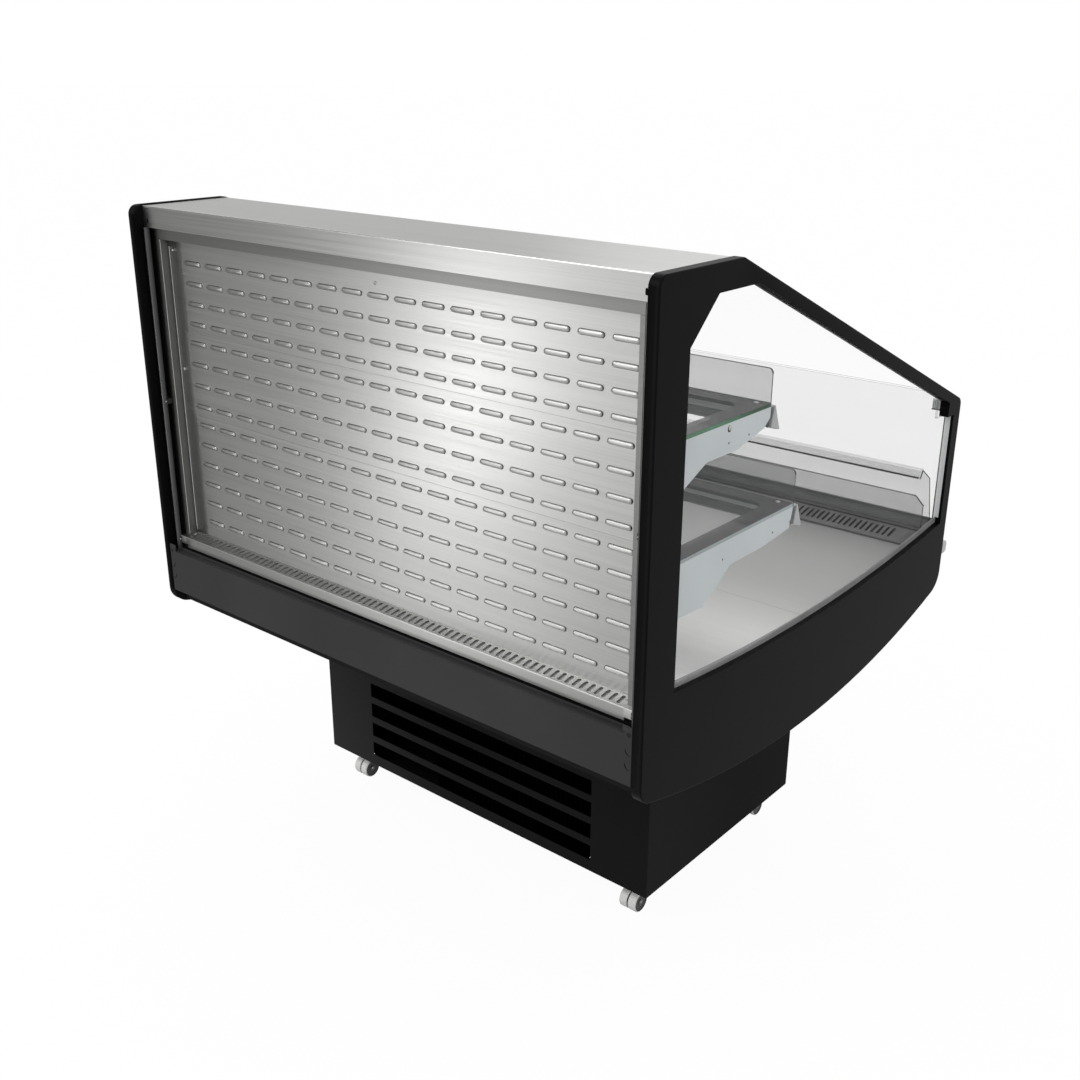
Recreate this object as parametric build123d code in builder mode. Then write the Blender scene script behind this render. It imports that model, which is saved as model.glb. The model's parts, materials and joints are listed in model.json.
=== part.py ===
"""Island display chiller: a louvred back, a glazed front, end frames and a base on castors.

The frame has its origin under the middle of the box, +Z up, and the louvred back faces -Y.
Depths are measured forwards from the back edge of the end frames, heights from the floor.
"""
from build123d import *
import math
import os

os.makedirs("parts", exist_ok=True)

# Overall sizes
length = 1200.0
body_depth = 1080.0
height = 1276.0
bumper_depth = 20.0

# Stock sizes and clearances
frame_t = 19.0
sheet = 1.2
panel_t = 1.5
glass_t = 6.0
acrylic_t = 4.0
gap = 0.3
fit_gap = 0.5
running_gap = 0.05

# End frame outline
top_depth = 209.0
front_z = 898.0
belly_back_z = 480.0
belly_mid_z = 405.5
belly_front_z = 494.0
edge_round = 2.5
round_back_top = 18.0
round_top = 8.0
round_front_top = 18.0
round_front_bottom = 45.0
round_back_bottom = 35.0

# Window in each end frame
window_back = 78.5
window_top_bar = 42.0
window_slope_bar = 22.4
window_chamfer_d = 67.5
window_chamfer_z = 66.0
window_front_bar = 31.0
window_sill_z = 640.0
window_sill_dip = 29.0
gusset_d = 49.0
gusset_drop = 39.0

# Canopy, header and louvred wall
canopy_back = 18.5
canopy_drop = 1.5
canopy_face = 40.0
canopy_lip = 12.0
bend_r = 1.8
header_back = 29.0
header_face = 21.0
wall_back = 48.0
wall_return = 10.0
panel_seams = (600.0, 880.0, 1043.0)
post_width = 31.0

# Louvres: height of the top row above the seam, rows and row pitch of each panel, then the
# shift of the patterns to the right
louvre_length = 47.5
louvre_height = 8.2
louvre_out = 3.6
louvre_pitch = 62.2
louvre_columns = 17
top_rows = (131.0, 4, 38.0)
middle_rows = (143.0, 4, 41.3)
bottom_rows = (262.0, 6, 40.2)
louvre_shift = 17.6
middle_shift = 12.6

# Air outlet under the canopy
outlet_height = 20.0
outlet_pitch = 12.0
outlet_cell = 9.0
outlet_behind = 12.0

# Back return grille and lower panels
lip_back = 19.0
lip_top_z = 623.6
lip_face = 16.0
lip_step = 2.0
strip_face = 7.0
grille_wall_z = 629.0
back_slot_length = 20.0
back_slot_width = 7.0
back_slot_pitch = 14.45
lower_back_top_z = 593.4
lower_back_bottom_z = 506.0
lower_flange = 15.0
lower_tab_length = 17.5
lower_tab_height = 14.0
lower_front_bottom_z = 520.0

# Insulated tub and deck
tub_inset = 6.0
tub_back = 24.0
tub_back_wall = 27.0
tub_front_wall = 30.0
tub_floor_z = 475.0
tub_knee_back = 200.0
tub_knee_front = 850.0
tub_knee_rise = 50.0
deck_z = 617.0
deck_joint = 504.5
deck_flange = 18.0
duct_front = 100.0
duct_foot = 12.0
duct_slot_length = 36.0
duct_slot_height = 5.0
duct_slot_pitch = 60.0
duct_slot_columns = 18
duct_slot_heights = (742.0, 770.0, 918.0, 946.0, 1110.0, 1138.0)

# Front return grille, ledge and glazing
front_grille_back = 936.0
front_grille_z = 621.0
front_grille_rise = 13.0
front_grille_front = 990.0
front_slot_length = 33.0
front_slot_width = 6.0
front_slot_pitch = 12.4
ledge_z = 637.0
ledge_front = 1052.0
inner_pane_back = 1056.0
pane_gap = 8.0
front_glass_top_z = 906.0
clamp_length = 30.0
clamp_height = 24.0
clamp_top_z = 897.0
low_fence_d = 1001.6
low_fence_height = 66.0
guard_foot_d = 1043.0
guard_bend_d = 1012.0
guard_bend_z = 760.0
guard_lip_d = 980.0
guard_lip_drop = 9.0
corner_cut = 18.0

# Bumper rail
bumper_height = 27.0
bumper_z = 562.0
bumper_round = 9.0
bumper_cap = 12.0

# Shelves
shelf_half = 578.0
upper_shelf_z = 1027.0
upper_shelf_depth = 250.0
lower_shelf_z = 835.0
lower_shelf_depth = 350.0
bracket_t = 2.0
bracket_flange = 12.0
hook_depth = 6.0
hook_height = 12.0
upright_width = 24.0
upright_depth = 12.0
upright_slot_pitch = 25.0
upright_slot_height = 16.0
upright_slot_width = 4.0
upright_slots_z = 665.0
rail_t = 2.5
rail_drop = 43.0
rail_out = 27.0
rail_step = 11.0
upper_fence_height = 55.0
lower_fence_height = 58.0
shelf_fence_t = 3.0
fence_corner = 8.0
bar_width = 20.0
bar_height = 12.0
bar_drop = 23.0
bar_setback = 23.0
# Bracket underside: how far out from the wall and down from the glass each corner lies
bracket_shapes = {
    "upper": ((15.0, -74.0), (71.0, -48.0), (155.0, -48.5), (233.0, -31.0), (250.0, -17.0)),
    "lower": (
        (17.0, -90.0),
        (80.0, -92.5),
        (158.0, -45.0),
        (255.0, -45.0),
        (340.0, -36.0),
        (348.0, -3.0),
    ),
}

# Vertical light tubes in the back corners
tube_r = 5.0
tube_d = 18.0
tube_x = 572.0
clip_height = 10.0
clip_width = 16.0
clip_heights = (610.0, 898.0)

# Base
base_half = 434.0
base_back = 273.0
base_front = 791.0
base_z = 73.0
base_pan_t = 2.0
post_leg = 30.0
post_t = 3.0
vent_half = 301.0
vent_top_z = 274.0
vent_height = 32.5
vent_pitch = 48.0
vent_count = 4
rail_height = 18.0
rail_width = 50.0
rail_end_gap = 16.0

# Castors
castor_x = 375.0
castor_back_d = 316.0
castor_front_d = 748.0
castor_trail = 14.0
wheel_r = 20.8
wheel_width = 14.5
wheel_space = 9.5
wheel_round = 3.0
axle_r = 3.0
fork_t = 7.5
fork_boss_r = 13.0
stem_r = 5.0

# Refrigeration
compressor_x = -270.0
compressor_d = 600.0
compressor_r = 78.0
compressor_height = 175.0
coil_x = 80.0
coil_length = 420.0
coil_depth = 40.0
coil_height = 230.0
coil_back = 300.0
fin_pitch = 12.0
fin_space = 7.0
fin_depth = 12.0
evaporator_x = 50.0
evaporator_length = 800.0
evaporator_back = 240.0
evaporator_depth = 190.0
evaporator_height = 112.0
evaporator_fan_d = 640.0
evaporator_fan_r = 55.0
condenser_fan_r = 95.0
blade_count = 5
blade_pitch = 28.0
blade_t = 2.0
shaft_r = 3.0
shaft_depth = 14.0
motor_length = 34.0
pipe_r = 5.0
pipe_bend = 22.0
pipe_x = -410.0
tray_x = 300.0
tray_d = 690.0
tray_length = 180.0
tray_width = 120.0
tray_height = 40.0
drain_r = 10.0

# Controls on the front of the base
control_x = 345.0
control_z = 350.0
control_length = 96.0
control_height = 44.0
control_depth = 55.0
bezel = 4.0
bezel_out = 3.0
rocker_length = 16.0
rocker_height = 24.0
rocker_depth = 12.0
rocker_out = 4.0
rocker_tilt = 9.0
rocker_pin_r = 1.5
gland_x = -370.0
gland_z = 120.0
gland_r = 10.0
gland_bore_r = 4.5
gland_nut_r = 14.0
gland_length = 16.0

# Screws in the louvred wall
screw_head_r = 3.2
screw_head_h = 1.6
screw_shank_r = 1.7
screw_length = 8.0
screw_edge_x = 540.0
screw_middle_x = 12.0
screw_top_z = 1194.0
screw_middle_z = 967.0

# Places worked out from the sizes above
half = length / 2
inner_half = half - frame_t
clear_half = inner_half - fit_gap
back_y = -(body_depth + bumper_depth) / 2
slope = (height - front_z) / (body_depth - top_depth)
wall_half = inner_half - post_width
canopy_top_z = height - canopy_drop
canopy_bottom_z = canopy_top_z - canopy_face + canopy_drop
header_bottom_z = canopy_bottom_z - header_face
tub_front = inner_pane_back + glass_t + pane_gap
seat_z = ledge_z - sheet
outer_pane_back = inner_pane_back + glass_t + pane_gap
pan_top_z = base_z + base_pan_t
rail_bottom_z = base_z - rail_height
tub_rim_z = panel_seams[0]
tube_bottom_z = lower_back_top_z + gap
pipe_d = compressor_d


def side_plane(x):
    """Upright plane across the length, with the depth and the height as its axes."""
    return Plane(origin=(x, back_y, 0), x_dir=(0, 1, 0), z_dir=(1, 0, 0))


def face_plane(depth):
    """Upright plane seen from the back, with the length and the height as its axes."""
    return Plane(origin=(0, back_y + depth, 0), x_dir=(1, 0, 0), z_dir=(0, -1, 0))


def level_plane(z):
    """Level plane, with the length and the depth as its axes."""
    return Plane(origin=(0, back_y, z))


def belly_circle():
    """Centre and radius of the circle through the three belly heights."""
    ax, az = 0.0, belly_back_z
    bx, bz = body_depth / 2, belly_mid_z
    cx, cz = body_depth, belly_front_z
    turn = 2 * (ax * (bz - cz) + bx * (cz - az) + cx * (az - bz))
    a2, b2, c2 = ax * ax + az * az, bx * bx + bz * bz, cx * cx + cz * cz
    x = (a2 * (bz - cz) + b2 * (cz - az) + c2 * (az - bz)) / turn
    z = (a2 * (cx - bx) + b2 * (ax - cx) + c2 * (bx - ax)) / turn
    return x, z, math.hypot(ax - x, az - z)


def belly(depth, up=0.0):
    """Point on the belly arc at a depth, raised by a distance."""
    x, z, radius = belly_circle()
    return depth, z - math.sqrt(radius**2 - (depth - x) ** 2) + up


def belly_arc(start, end, up=0.0):
    """Stretch of the belly arc between two depths."""
    return ThreePointArc(belly(start, up), belly((start + end) / 2, up), belly(end, up))


def slope_z(depth, below=0.0):
    """Height of the sloping top edge at a depth, less a bar height."""
    return height - slope * (depth - top_depth) - below


def folded(points, thickness):
    """Closed outline of a sheet that is folded along the points, laid to their left."""
    inner = []
    for i, point in enumerate(points):
        here = Vector(*point)
        before = (here - Vector(*points[i - 1])).normalized() if i else None
        after = (Vector(*points[i + 1]) - here).normalized() if i < len(points) - 1 else None
        first = before or after
        second = after or before
        normals = [Vector(-side.Y, side.X) for side in (first, second)]
        mitre = (normals[0] + normals[1]).normalized()
        inner.append(here + mitre * (thickness / mitre.dot(normals[0])))
    return list(points) + [(p.X, p.Y) for p in reversed(inner)]


def folded_panel(points, thickness, half_width):
    """Sheet with one side profile all along the length, to be made inside a part."""
    with BuildSketch(side_plane(0)) as profile:
        with BuildLine():
            Polyline(*folded(points, thickness), close=True)
        make_face()
    extrude(profile.sketch, amount=half_width, both=True)


def long_edge(part, depth, z):
    """The edge along the length that runs nearest to a depth and a height."""
    return part.edges().filter_by(Axis.X).sort_by_distance((0, back_y + depth, z))[0]


def save(part, name):
    """Label a finished sub-part and write it."""
    part.part.label = name
    export_step(part.part, f"parts/{name}.step")


def window_outline(shrink=0.0):
    """Outline of the window in an end frame, drawn inside a line block."""
    back = window_back + shrink
    top = height - window_top_bar - shrink
    front = body_depth - window_front_bar - shrink
    gusset = body_depth - window_front_bar - gusset_d - shrink
    bar = window_slope_bar + shrink
    top_front = top_depth + (height - bar - top) / slope
    gusset_top = slope_z(gusset, bar)
    gusset_bottom = slope_z(gusset + shrink, window_slope_bar) - gusset_drop - shrink
    sill = window_sill_z + shrink
    corners = [
        (back, sill),
        (back, top - window_chamfer_z),
        (back + window_chamfer_d, top),
        (top_front, top),
        (gusset, gusset_top),
        (gusset, gusset_bottom),
        (front, gusset_bottom),
        (front, sill),
    ]
    Polyline(*corners)
    ThreePointArc((front, sill), ((front + back) / 2, sill - window_sill_dip), (back, sill))


# End frames
for side, hand in ((-1, "left"), (1, "right")):
    with BuildPart() as end_frame:
        with BuildSketch(side_plane(side * inner_half)) as outline:
            with BuildLine():
                Polyline(
                    (0, belly_back_z),
                    (0, height),
                    (top_depth, height),
                    (body_depth, front_z),
                    (body_depth, belly_front_z),
                )
                belly_arc(0, body_depth)
            make_face()
            for corner, radius in (
                ((0, belly_back_z), round_back_bottom),
                ((0, height), round_back_top),
                ((top_depth, height), round_top),
                ((body_depth, front_z), round_front_top),
                ((body_depth, belly_front_z), round_front_bottom),
            ):
                fillet(outline.vertices().sort_by_distance((*corner, 0))[0], radius)
        extrude(amount=side * frame_t)
        outer_edges = end_frame.faces().sort_by(Axis.X)[-1 if side > 0 else 0].edges()
        fillet(outer_edges, edge_round)
        with BuildSketch(side_plane(side * inner_half)):
            with BuildLine():
                window_outline()
            make_face()
        extrude(amount=side * frame_t, mode=Mode.SUBTRACT)
    save(end_frame, f"end_frame_{hand}")

# Window panes, flush with the inner faces of the end frames
with BuildPart() as end_glass:
    with BuildSketch(side_plane(inner_half)):
        with BuildLine():
            window_outline(gap)
        make_face()
    extrude(amount=glass_t)
    mirror(about=Plane.YZ)
save(end_glass, "end_glass_panes")

# Canopy: a deck folded down at the back and the front, open below into the duct
with BuildPart() as canopy:
    canopy_front = top_depth - gap
    fold = [
        (canopy_back + canopy_lip, canopy_bottom_z),
        (canopy_back, canopy_bottom_z),
        (canopy_back, canopy_top_z),
        (canopy_front, canopy_top_z),
        (canopy_front, canopy_bottom_z),
        (canopy_front - canopy_lip, canopy_bottom_z),
    ]
    folded_panel([(d, z) for d, z in reversed(fold)], panel_t, clear_half)
    fillet(long_edge(canopy, canopy_back, canopy_top_z), bend_r)
save(canopy, "canopy")

# Header strip between the canopy and the louvred wall
with BuildPart() as header:
    fold = [
        (header_back, canopy_bottom_z),
        (header_back, header_bottom_z),
        (wall_back, header_bottom_z),
    ]
    folded_panel(fold, panel_t, clear_half)
save(header, "header_strip")

# Air outlet under the canopy: a frame of narrow cells
outlet_back = duct_front + outlet_behind
outlet_front = top_depth - gap - panel_t
with BuildPart() as air_outlet:
    outlet_depth = outlet_front - outlet_back
    outlet_d = (outlet_front + outlet_back) / 2
    lift = canopy_bottom_z + panel_t
    with BuildSketch(level_plane(lift)):
        with Locations((0, outlet_d)):
            Rectangle(2 * clear_half, outlet_depth)
    extrude(amount=outlet_height)
    cells = int((2 * clear_half - outlet_pitch) / outlet_pitch)
    with BuildSketch(level_plane(lift)):
        with Locations((0, outlet_d)):
            with GridLocations(outlet_pitch, 1, cells, 1):
                Rectangle(outlet_cell, outlet_depth - outlet_pitch)
    extrude(amount=outlet_height, mode=Mode.SUBTRACT)
save(air_outlet, "air_outlet")

# Louvred wall: three folded panels with rows of pressed hoods that open downwards
screw_places = (
    ("top", [(-screw_edge_x, screw_top_z), (screw_middle_x, screw_top_z), (screw_edge_x, screw_top_z)]),
    ("middle", [(-screw_edge_x, screw_middle_z), (screw_edge_x, screw_middle_z)]),
    ("bottom", []),
)


def louvre_panel(bottom_z, top_z, rows, shift, screws):
    """One wall panel with its louvres and its screw holes."""
    top_row, row_count, row_pitch = rows
    middle_z = bottom_z + top_row - (row_count - 1) * row_pitch / 2
    with BuildPart() as panel:
        fold = [
            (wall_back + wall_return, bottom_z),
            (wall_back, bottom_z),
            (wall_back, top_z - gap),
            (wall_back + wall_return, top_z - gap),
        ]
        folded_panel(list(reversed(fold)), sheet, wall_half - gap)
        with BuildSketch(face_plane(wall_back)):
            with Locations((shift, middle_z)):
                with GridLocations(louvre_pitch, row_pitch, louvre_columns, row_count):
                    SlotOverall(louvre_length, louvre_height)
        extrude(amount=louvre_out)
        inner = 2 * sheet
        with BuildSketch(face_plane(wall_back + sheet)):
            with Locations((shift, middle_z)):
                with GridLocations(louvre_pitch, row_pitch, louvre_columns, row_count):
                    SlotOverall(louvre_length - inner, louvre_height - inner)
            with Locations((shift, middle_z - louvre_height / 2 + sheet)):
                with GridLocations(louvre_pitch, row_pitch, louvre_columns, row_count):
                    Rectangle(louvre_length - louvre_height, inner)
        extrude(amount=louvre_out, mode=Mode.SUBTRACT)
        if screws:
            with BuildSketch(face_plane(wall_back)):
                with Locations(*screws):
                    Circle(screw_shank_r + gap)
            extrude(amount=-sheet, mode=Mode.SUBTRACT)
    return panel


panel_tops = panel_seams[1:] + (header_bottom_z,)
panel_rows = {"bottom": bottom_rows, "middle": middle_rows, "top": top_rows}
for (place, rows), bottom_z, top_z in zip(panel_rows.items(), panel_seams, panel_tops):
    shift = middle_shift if place == "middle" else louvre_shift
    wall_panel = louvre_panel(bottom_z, top_z, rows, shift, dict(screw_places)[place])
    save(wall_panel, f"louvre_panel_{place}")

with BuildPart() as screws:
    places = [spot for _, spots in screw_places for spot in spots]
    with BuildSketch(face_plane(wall_back)):
        with Locations(*places):
            Circle(screw_head_r)
    extrude(amount=screw_head_h)
    fillet(screws.edges().group_by(Axis.Y)[0], screw_head_h / 2)
    with BuildSketch(face_plane(wall_back)):
        with Locations(*places):
            Circle(screw_shank_r)
    extrude(amount=-screw_length)
save(screws, "screws")

# Posts that close the ends of the louvred wall
with BuildPart() as end_posts:
    with BuildSketch(level_plane(panel_seams[0])):
        with BuildLine():
            corner = [
                (wall_half, wall_back + wall_return),
                (wall_half, header_back),
                (clear_half, header_back),
            ]
            Polyline(*folded(corner, panel_t), close=True)
        make_face()
    extrude(amount=header_bottom_z - gap - panel_seams[0])
    mirror(about=Plane.YZ)
save(end_posts, "end_posts")

# Light tubes in the back corners, and the clips that hold them on the posts
with BuildPart() as light_tubes:
    with BuildSketch(level_plane(tube_bottom_z)):
        with Locations((tube_x, tube_d)):
            Circle(tube_r)
    extrude(amount=canopy_bottom_z - gap - tube_bottom_z)
    mirror(about=Plane.YZ)
save(light_tubes, "light_tubes")

with BuildPart() as tube_clips:
    for clip_z in clip_heights:
        with BuildSketch(level_plane(clip_z)):
            with Locations((clear_half - clip_width / 2, (tube_d + header_back) / 2)):
                Rectangle(clip_width, header_back - tube_d)
            with Locations((tube_x, tube_d)):
                Circle(tube_r + gap, mode=Mode.SUBTRACT)
        extrude(amount=clip_height)
    mirror(about=Plane.YZ)
save(tube_clips, "light_tube_clips")

# Back return grille: a lip, a slotted surface and a foot that stands on the tub
with BuildPart() as grille_back:
    lip_bottom_z = lip_top_z - lip_face
    fold = [
        (lip_back + lip_step, lip_bottom_z - strip_face),
        (lip_back + lip_step, lip_bottom_z),
        (lip_back, lip_bottom_z),
        (lip_back, lip_top_z),
        (wall_back - gap, grille_wall_z),
        (wall_back - gap, tub_rim_z),
    ]
    folded_panel(list(reversed(fold)), sheet, wall_half - gap)
    fillet(long_edge(grille_back, lip_back, lip_top_z), bend_r)
    slot_count = int((2 * wall_half - 2 * back_slot_width) / back_slot_pitch)
    with BuildSketch(level_plane(lip_bottom_z)):
        with Locations((0, (lip_back + wall_back) / 2)):
            with GridLocations(back_slot_pitch, 1, slot_count, 1):
                SlotOverall(back_slot_length, back_slot_width, rotation=90)
    extrude(amount=grille_wall_z - lip_bottom_z, mode=Mode.SUBTRACT)
save(grille_back, "return_grille_back")

# Lower panels between the end frames
with BuildPart() as lower_back:
    fold = [
        (lower_flange, lower_back_bottom_z),
        (0, lower_back_bottom_z),
        (0, lower_back_top_z),
        (lower_flange, lower_back_top_z),
    ]
    folded_panel(list(reversed(fold)), panel_t, clear_half)
    tab_x = clear_half - lower_tab_length / 2
    with BuildSketch(face_plane(0)):
        with Locations((tab_x, lower_back_top_z), (-tab_x, lower_back_top_z)):
            Rectangle(lower_tab_length, 2 * lower_tab_height)
    extrude(amount=-panel_t)
save(lower_back, "lower_panel_back")

with BuildPart() as lower_front:
    fold = [
        (outer_pane_back, seat_z),
        (body_depth, seat_z),
        (body_depth, lower_front_bottom_z),
        (outer_pane_back + panel_t, lower_front_bottom_z),
    ]
    folded_panel(list(reversed(fold)), panel_t, clear_half)
save(lower_front, "lower_panel_front")

# Insulated tub, whose underside follows the belly of the end frames
with BuildPart() as tub:
    tub_inner_back = tub_back + tub_back_wall
    tub_inner_front = tub_front - tub_front_wall
    with BuildSketch(side_plane(0)):
        with BuildLine():
            Polyline(
                belly(tub_back, tub_inset),
                (tub_back, tub_rim_z),
                (tub_inner_back, tub_rim_z),
                (tub_inner_back, tub_floor_z + tub_knee_rise),
                (tub_knee_back, tub_floor_z),
                (tub_knee_front, tub_floor_z),
                (tub_inner_front, tub_floor_z + tub_knee_rise),
                (tub_inner_front, seat_z),
                (tub_front, seat_z),
                belly(tub_front, tub_inset),
            )
            belly_arc(tub_back, tub_front, tub_inset)
        make_face()
    extrude(amount=inner_half, both=True)
    with BuildSketch(level_plane(0)):
        with Locations((pipe_x, pipe_d)):
            Circle(pipe_r + gap)
        with Locations((tray_x, tray_d)):
            Circle(drain_r + gap)
    extrude(amount=tub_floor_z, mode=Mode.SUBTRACT)
save(tub, "insulated_tub")

# Duct wall behind the shelves and the slotted uprights beside it
with BuildPart() as duct_panel:
    fold = [
        (duct_front, canopy_bottom_z),
        (duct_front, deck_z - sheet),
        (duct_front + duct_foot, deck_z - sheet),
    ]
    folded_panel(list(reversed(fold)), sheet, inner_half - upright_width - gap)
    with BuildSketch(face_plane(duct_front)):
        for slot_z in duct_slot_heights:
            with Locations((0, slot_z)):
                with GridLocations(duct_slot_pitch, 1, duct_slot_columns, 1):
                    SlotOverall(duct_slot_length, duct_slot_height)
    extrude(amount=sheet, both=True, mode=Mode.SUBTRACT)
save(duct_panel, "duct_panel")

slot_count_z = int((canopy_bottom_z - 2 * upright_slot_pitch - upright_slots_z) / upright_slot_pitch)
with BuildPart() as uprights:
    upright_x = inner_half - upright_width
    with BuildSketch(level_plane(deck_z)):
        with BuildLine():
            channel = [
                (upright_x, duct_front - upright_depth),
                (upright_x, duct_front),
                (clear_half, duct_front),
                (clear_half, duct_front - upright_depth),
            ]
            Polyline(*folded(list(reversed(channel)), panel_t), close=True)
        make_face()
    extrude(amount=canopy_bottom_z - deck_z)
    span = (slot_count_z - 1) * upright_slot_pitch
    with BuildSketch(face_plane(duct_front)):
        with Locations((shelf_half - bracket_t / 2, upright_slots_z + span / 2)):
            with GridLocations(1, upright_slot_pitch, 1, slot_count_z):
                Rectangle(upright_slot_width, upright_slot_height)
    extrude(amount=panel_t, mode=Mode.SUBTRACT)
    mirror(about=Plane.YZ)
save(uprights, "slotted_uprights")


def nearest_slot(z):
    """Middle height of the upright slot nearest to a height."""
    return upright_slots_z + round((z - upright_slots_z) / upright_slot_pitch) * upright_slot_pitch


# Deck pans over the tub
for place, start, end in (
    ("back", duct_front, deck_joint),
    ("front", deck_joint, front_grille_back),
):
    with BuildPart() as deck_pan:
        fold = [
            (start + gap, deck_z - deck_flange if place == "front" else deck_z - sheet),
            (start + gap, deck_z),
            (end - gap, deck_z),
            (end - gap, deck_z - deck_flange),
        ]
        if place == "back":
            fold = fold[1:]
        folded_panel(list(reversed(fold)), sheet, clear_half)
    save(deck_pan, f"deck_pan_{place}")

# Front return grille and the ledge that carries the glazing
with BuildPart() as grille_front:
    grille_top_z = front_grille_z + front_grille_rise
    fold = [
        (front_grille_back, deck_z - deck_flange),
        (front_grille_back, front_grille_z),
        (front_grille_front - gap, grille_top_z),
        (front_grille_front - gap, deck_z - deck_flange),
    ]
    folded_panel(list(reversed(fold)), sheet, clear_half)
    slot_count = int((2 * inner_half - 6 * front_slot_pitch) / front_slot_pitch)
    with BuildSketch(level_plane(front_grille_z - 2 * sheet)):
        with Locations((0, (front_grille_back + front_grille_front) / 2 + 2 * sheet)):
            with GridLocations(front_slot_pitch, 1, slot_count, 1):
                SlotOverall(front_slot_length, front_slot_width, rotation=90)
    extrude(amount=front_grille_rise + 3 * sheet, mode=Mode.SUBTRACT)
save(grille_front, "return_grille_front")

with BuildPart() as ledge:
    fold = [
        (front_grille_front, deck_z - deck_flange),
        (front_grille_front, ledge_z),
        (ledge_front, ledge_z),
    ]
    folded_panel(list(reversed(fold)), sheet, clear_half)
save(ledge, "front_ledge")

# Front glazing, its clamps, the air guard and the low fence
with BuildPart() as front_glass:
    pane_height = front_glass_top_z - seat_z
    for pane_back in (inner_pane_back, outer_pane_back):
        with BuildSketch(face_plane(pane_back)):
            with Locations((0, seat_z + pane_height / 2)):
                Rectangle(2 * clear_half, pane_height)
        extrude(amount=-glass_t)
save(front_glass, "front_glass")

with BuildPart() as clamps:
    clamp_back = ledge_front - 4 * sheet
    with BuildSketch(face_plane(clamp_back)):
        with Locations((inner_half - clamp_length / 2, clamp_top_z - clamp_height / 2)):
            RectangleRounded(clamp_length, clamp_height, sheet)
    extrude(amount=clamp_back - inner_pane_back)
    mirror(about=Plane.YZ)
save(clamps, "glass_clamps")


def fence(depth, foot_z, fence_height, thickness, half_width):
    """Upright clear strip along the length with its top corners cut."""
    with BuildPart() as strip:
        with BuildSketch(face_plane(depth)) as outline:
            with Locations((0, foot_z + fence_height / 2)):
                Rectangle(2 * half_width, fence_height)
            chamfer(outline.vertices().group_by(Axis.Y)[-1], corner_cut)
        extrude(amount=-thickness)
    return strip


low_fence = fence(low_fence_d, ledge_z, low_fence_height, acrylic_t, shelf_half)
save(low_fence, "low_fence")

with BuildPart() as air_guard:
    fold = [
        (guard_foot_d, ledge_z),
        (guard_bend_d, guard_bend_z),
        (guard_lip_d, guard_bend_z - guard_lip_drop),
    ]
    folded_panel(fold, acrylic_t, clear_half)
    with BuildSketch(level_plane(ledge_z)):
        with Locations((0, guard_foot_d)):
            Rectangle(length, 4 * acrylic_t)
    extrude(amount=-acrylic_t, mode=Mode.SUBTRACT)
    with BuildSketch(face_plane(0)):
        with BuildLine():
            Polyline(
                (clear_half, guard_bend_z - corner_cut),
                (clear_half, guard_bend_z + corner_cut),
                (clear_half - corner_cut, guard_bend_z + corner_cut),
                (clear_half - corner_cut, guard_bend_z),
                close=True,
            )
        make_face()
        mirror(about=Plane.YZ)
    extrude(amount=-body_depth, mode=Mode.SUBTRACT)
save(air_guard, "air_guard")

# Bumper rail along the front and its end caps
bumper_half = half - bumper_cap
with BuildPart() as bumper_rail:
    with BuildSketch(side_plane(0)) as outline:
        with Locations((body_depth + bumper_depth / 2, bumper_z + bumper_height / 2)):
            Rectangle(bumper_depth, bumper_height)
        fillet(outline.vertices().group_by(Axis.X)[-1], bumper_round)
    extrude(amount=bumper_half, both=True)
save(bumper_rail, "bumper_rail")

with BuildPart() as bumper_caps:
    with BuildSketch(side_plane(bumper_half)) as outline:
        with Locations((body_depth + bumper_depth / 2, bumper_z + bumper_height / 2)):
            Rectangle(bumper_depth, bumper_height)
        fillet(outline.vertices().group_by(Axis.X)[-1], bumper_round)
    extrude(amount=bumper_cap)
    fillet(bumper_caps.faces().sort_by(Axis.X)[-1].edges(), edge_round)
    mirror(about=Plane.YZ)
save(bumper_caps, "bumper_end_caps")

# Shelves: glass, brackets, fences, price rails and light bars
shelves = (
    ("upper", upper_shelf_z, upper_shelf_depth, upper_fence_height),
    ("lower", lower_shelf_z, lower_shelf_depth, lower_fence_height),
)

for place, shelf_z, shelf_depth, fence_height in shelves:
    with BuildPart() as shelf_glass:
        glass_depth = shelf_depth - shelf_fence_t - gap
        with BuildSketch(level_plane(shelf_z)):
            with Locations((0, duct_front + gap + glass_depth / 2)):
                Rectangle(2 * shelf_half, glass_depth)
        extrude(amount=glass_t)
        chamfer(shelf_glass.edges().filter_by(GeomType.LINE), gap)
    save(shelf_glass, f"shelf_glass_{place}")

    with BuildPart() as brackets:
        drops = [(duct_front + out, shelf_z + down) for out, down in bracket_shapes[place]]
        slots = [nearest_slot(drops[0][1] + hook_height), nearest_slot(shelf_z - upright_slot_pitch)]
        with BuildSketch(side_plane(shelf_half - bracket_t)):
            with BuildLine():
                back_foot = (duct_front, drops[0][1] - hook_height / 2)
                Polyline((duct_front, shelf_z), back_foot, *drops, (drops[-1][0], shelf_z), close=True)
            make_face()
            with Locations(*[(duct_front - hook_depth / 2, z) for z in slots]):
                Rectangle(hook_depth, hook_height)
        extrude(amount=bracket_t)
        with BuildSketch(level_plane(shelf_z)):
            flange_depth = drops[-1][0] - duct_front
            with Locations((shelf_half - bracket_flange / 2, duct_front + flange_depth / 2)):
                Rectangle(bracket_flange, flange_depth)
        extrude(amount=-bracket_t)
        mirror(about=Plane.YZ)
    save(brackets, f"shelf_brackets_{place}")

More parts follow.
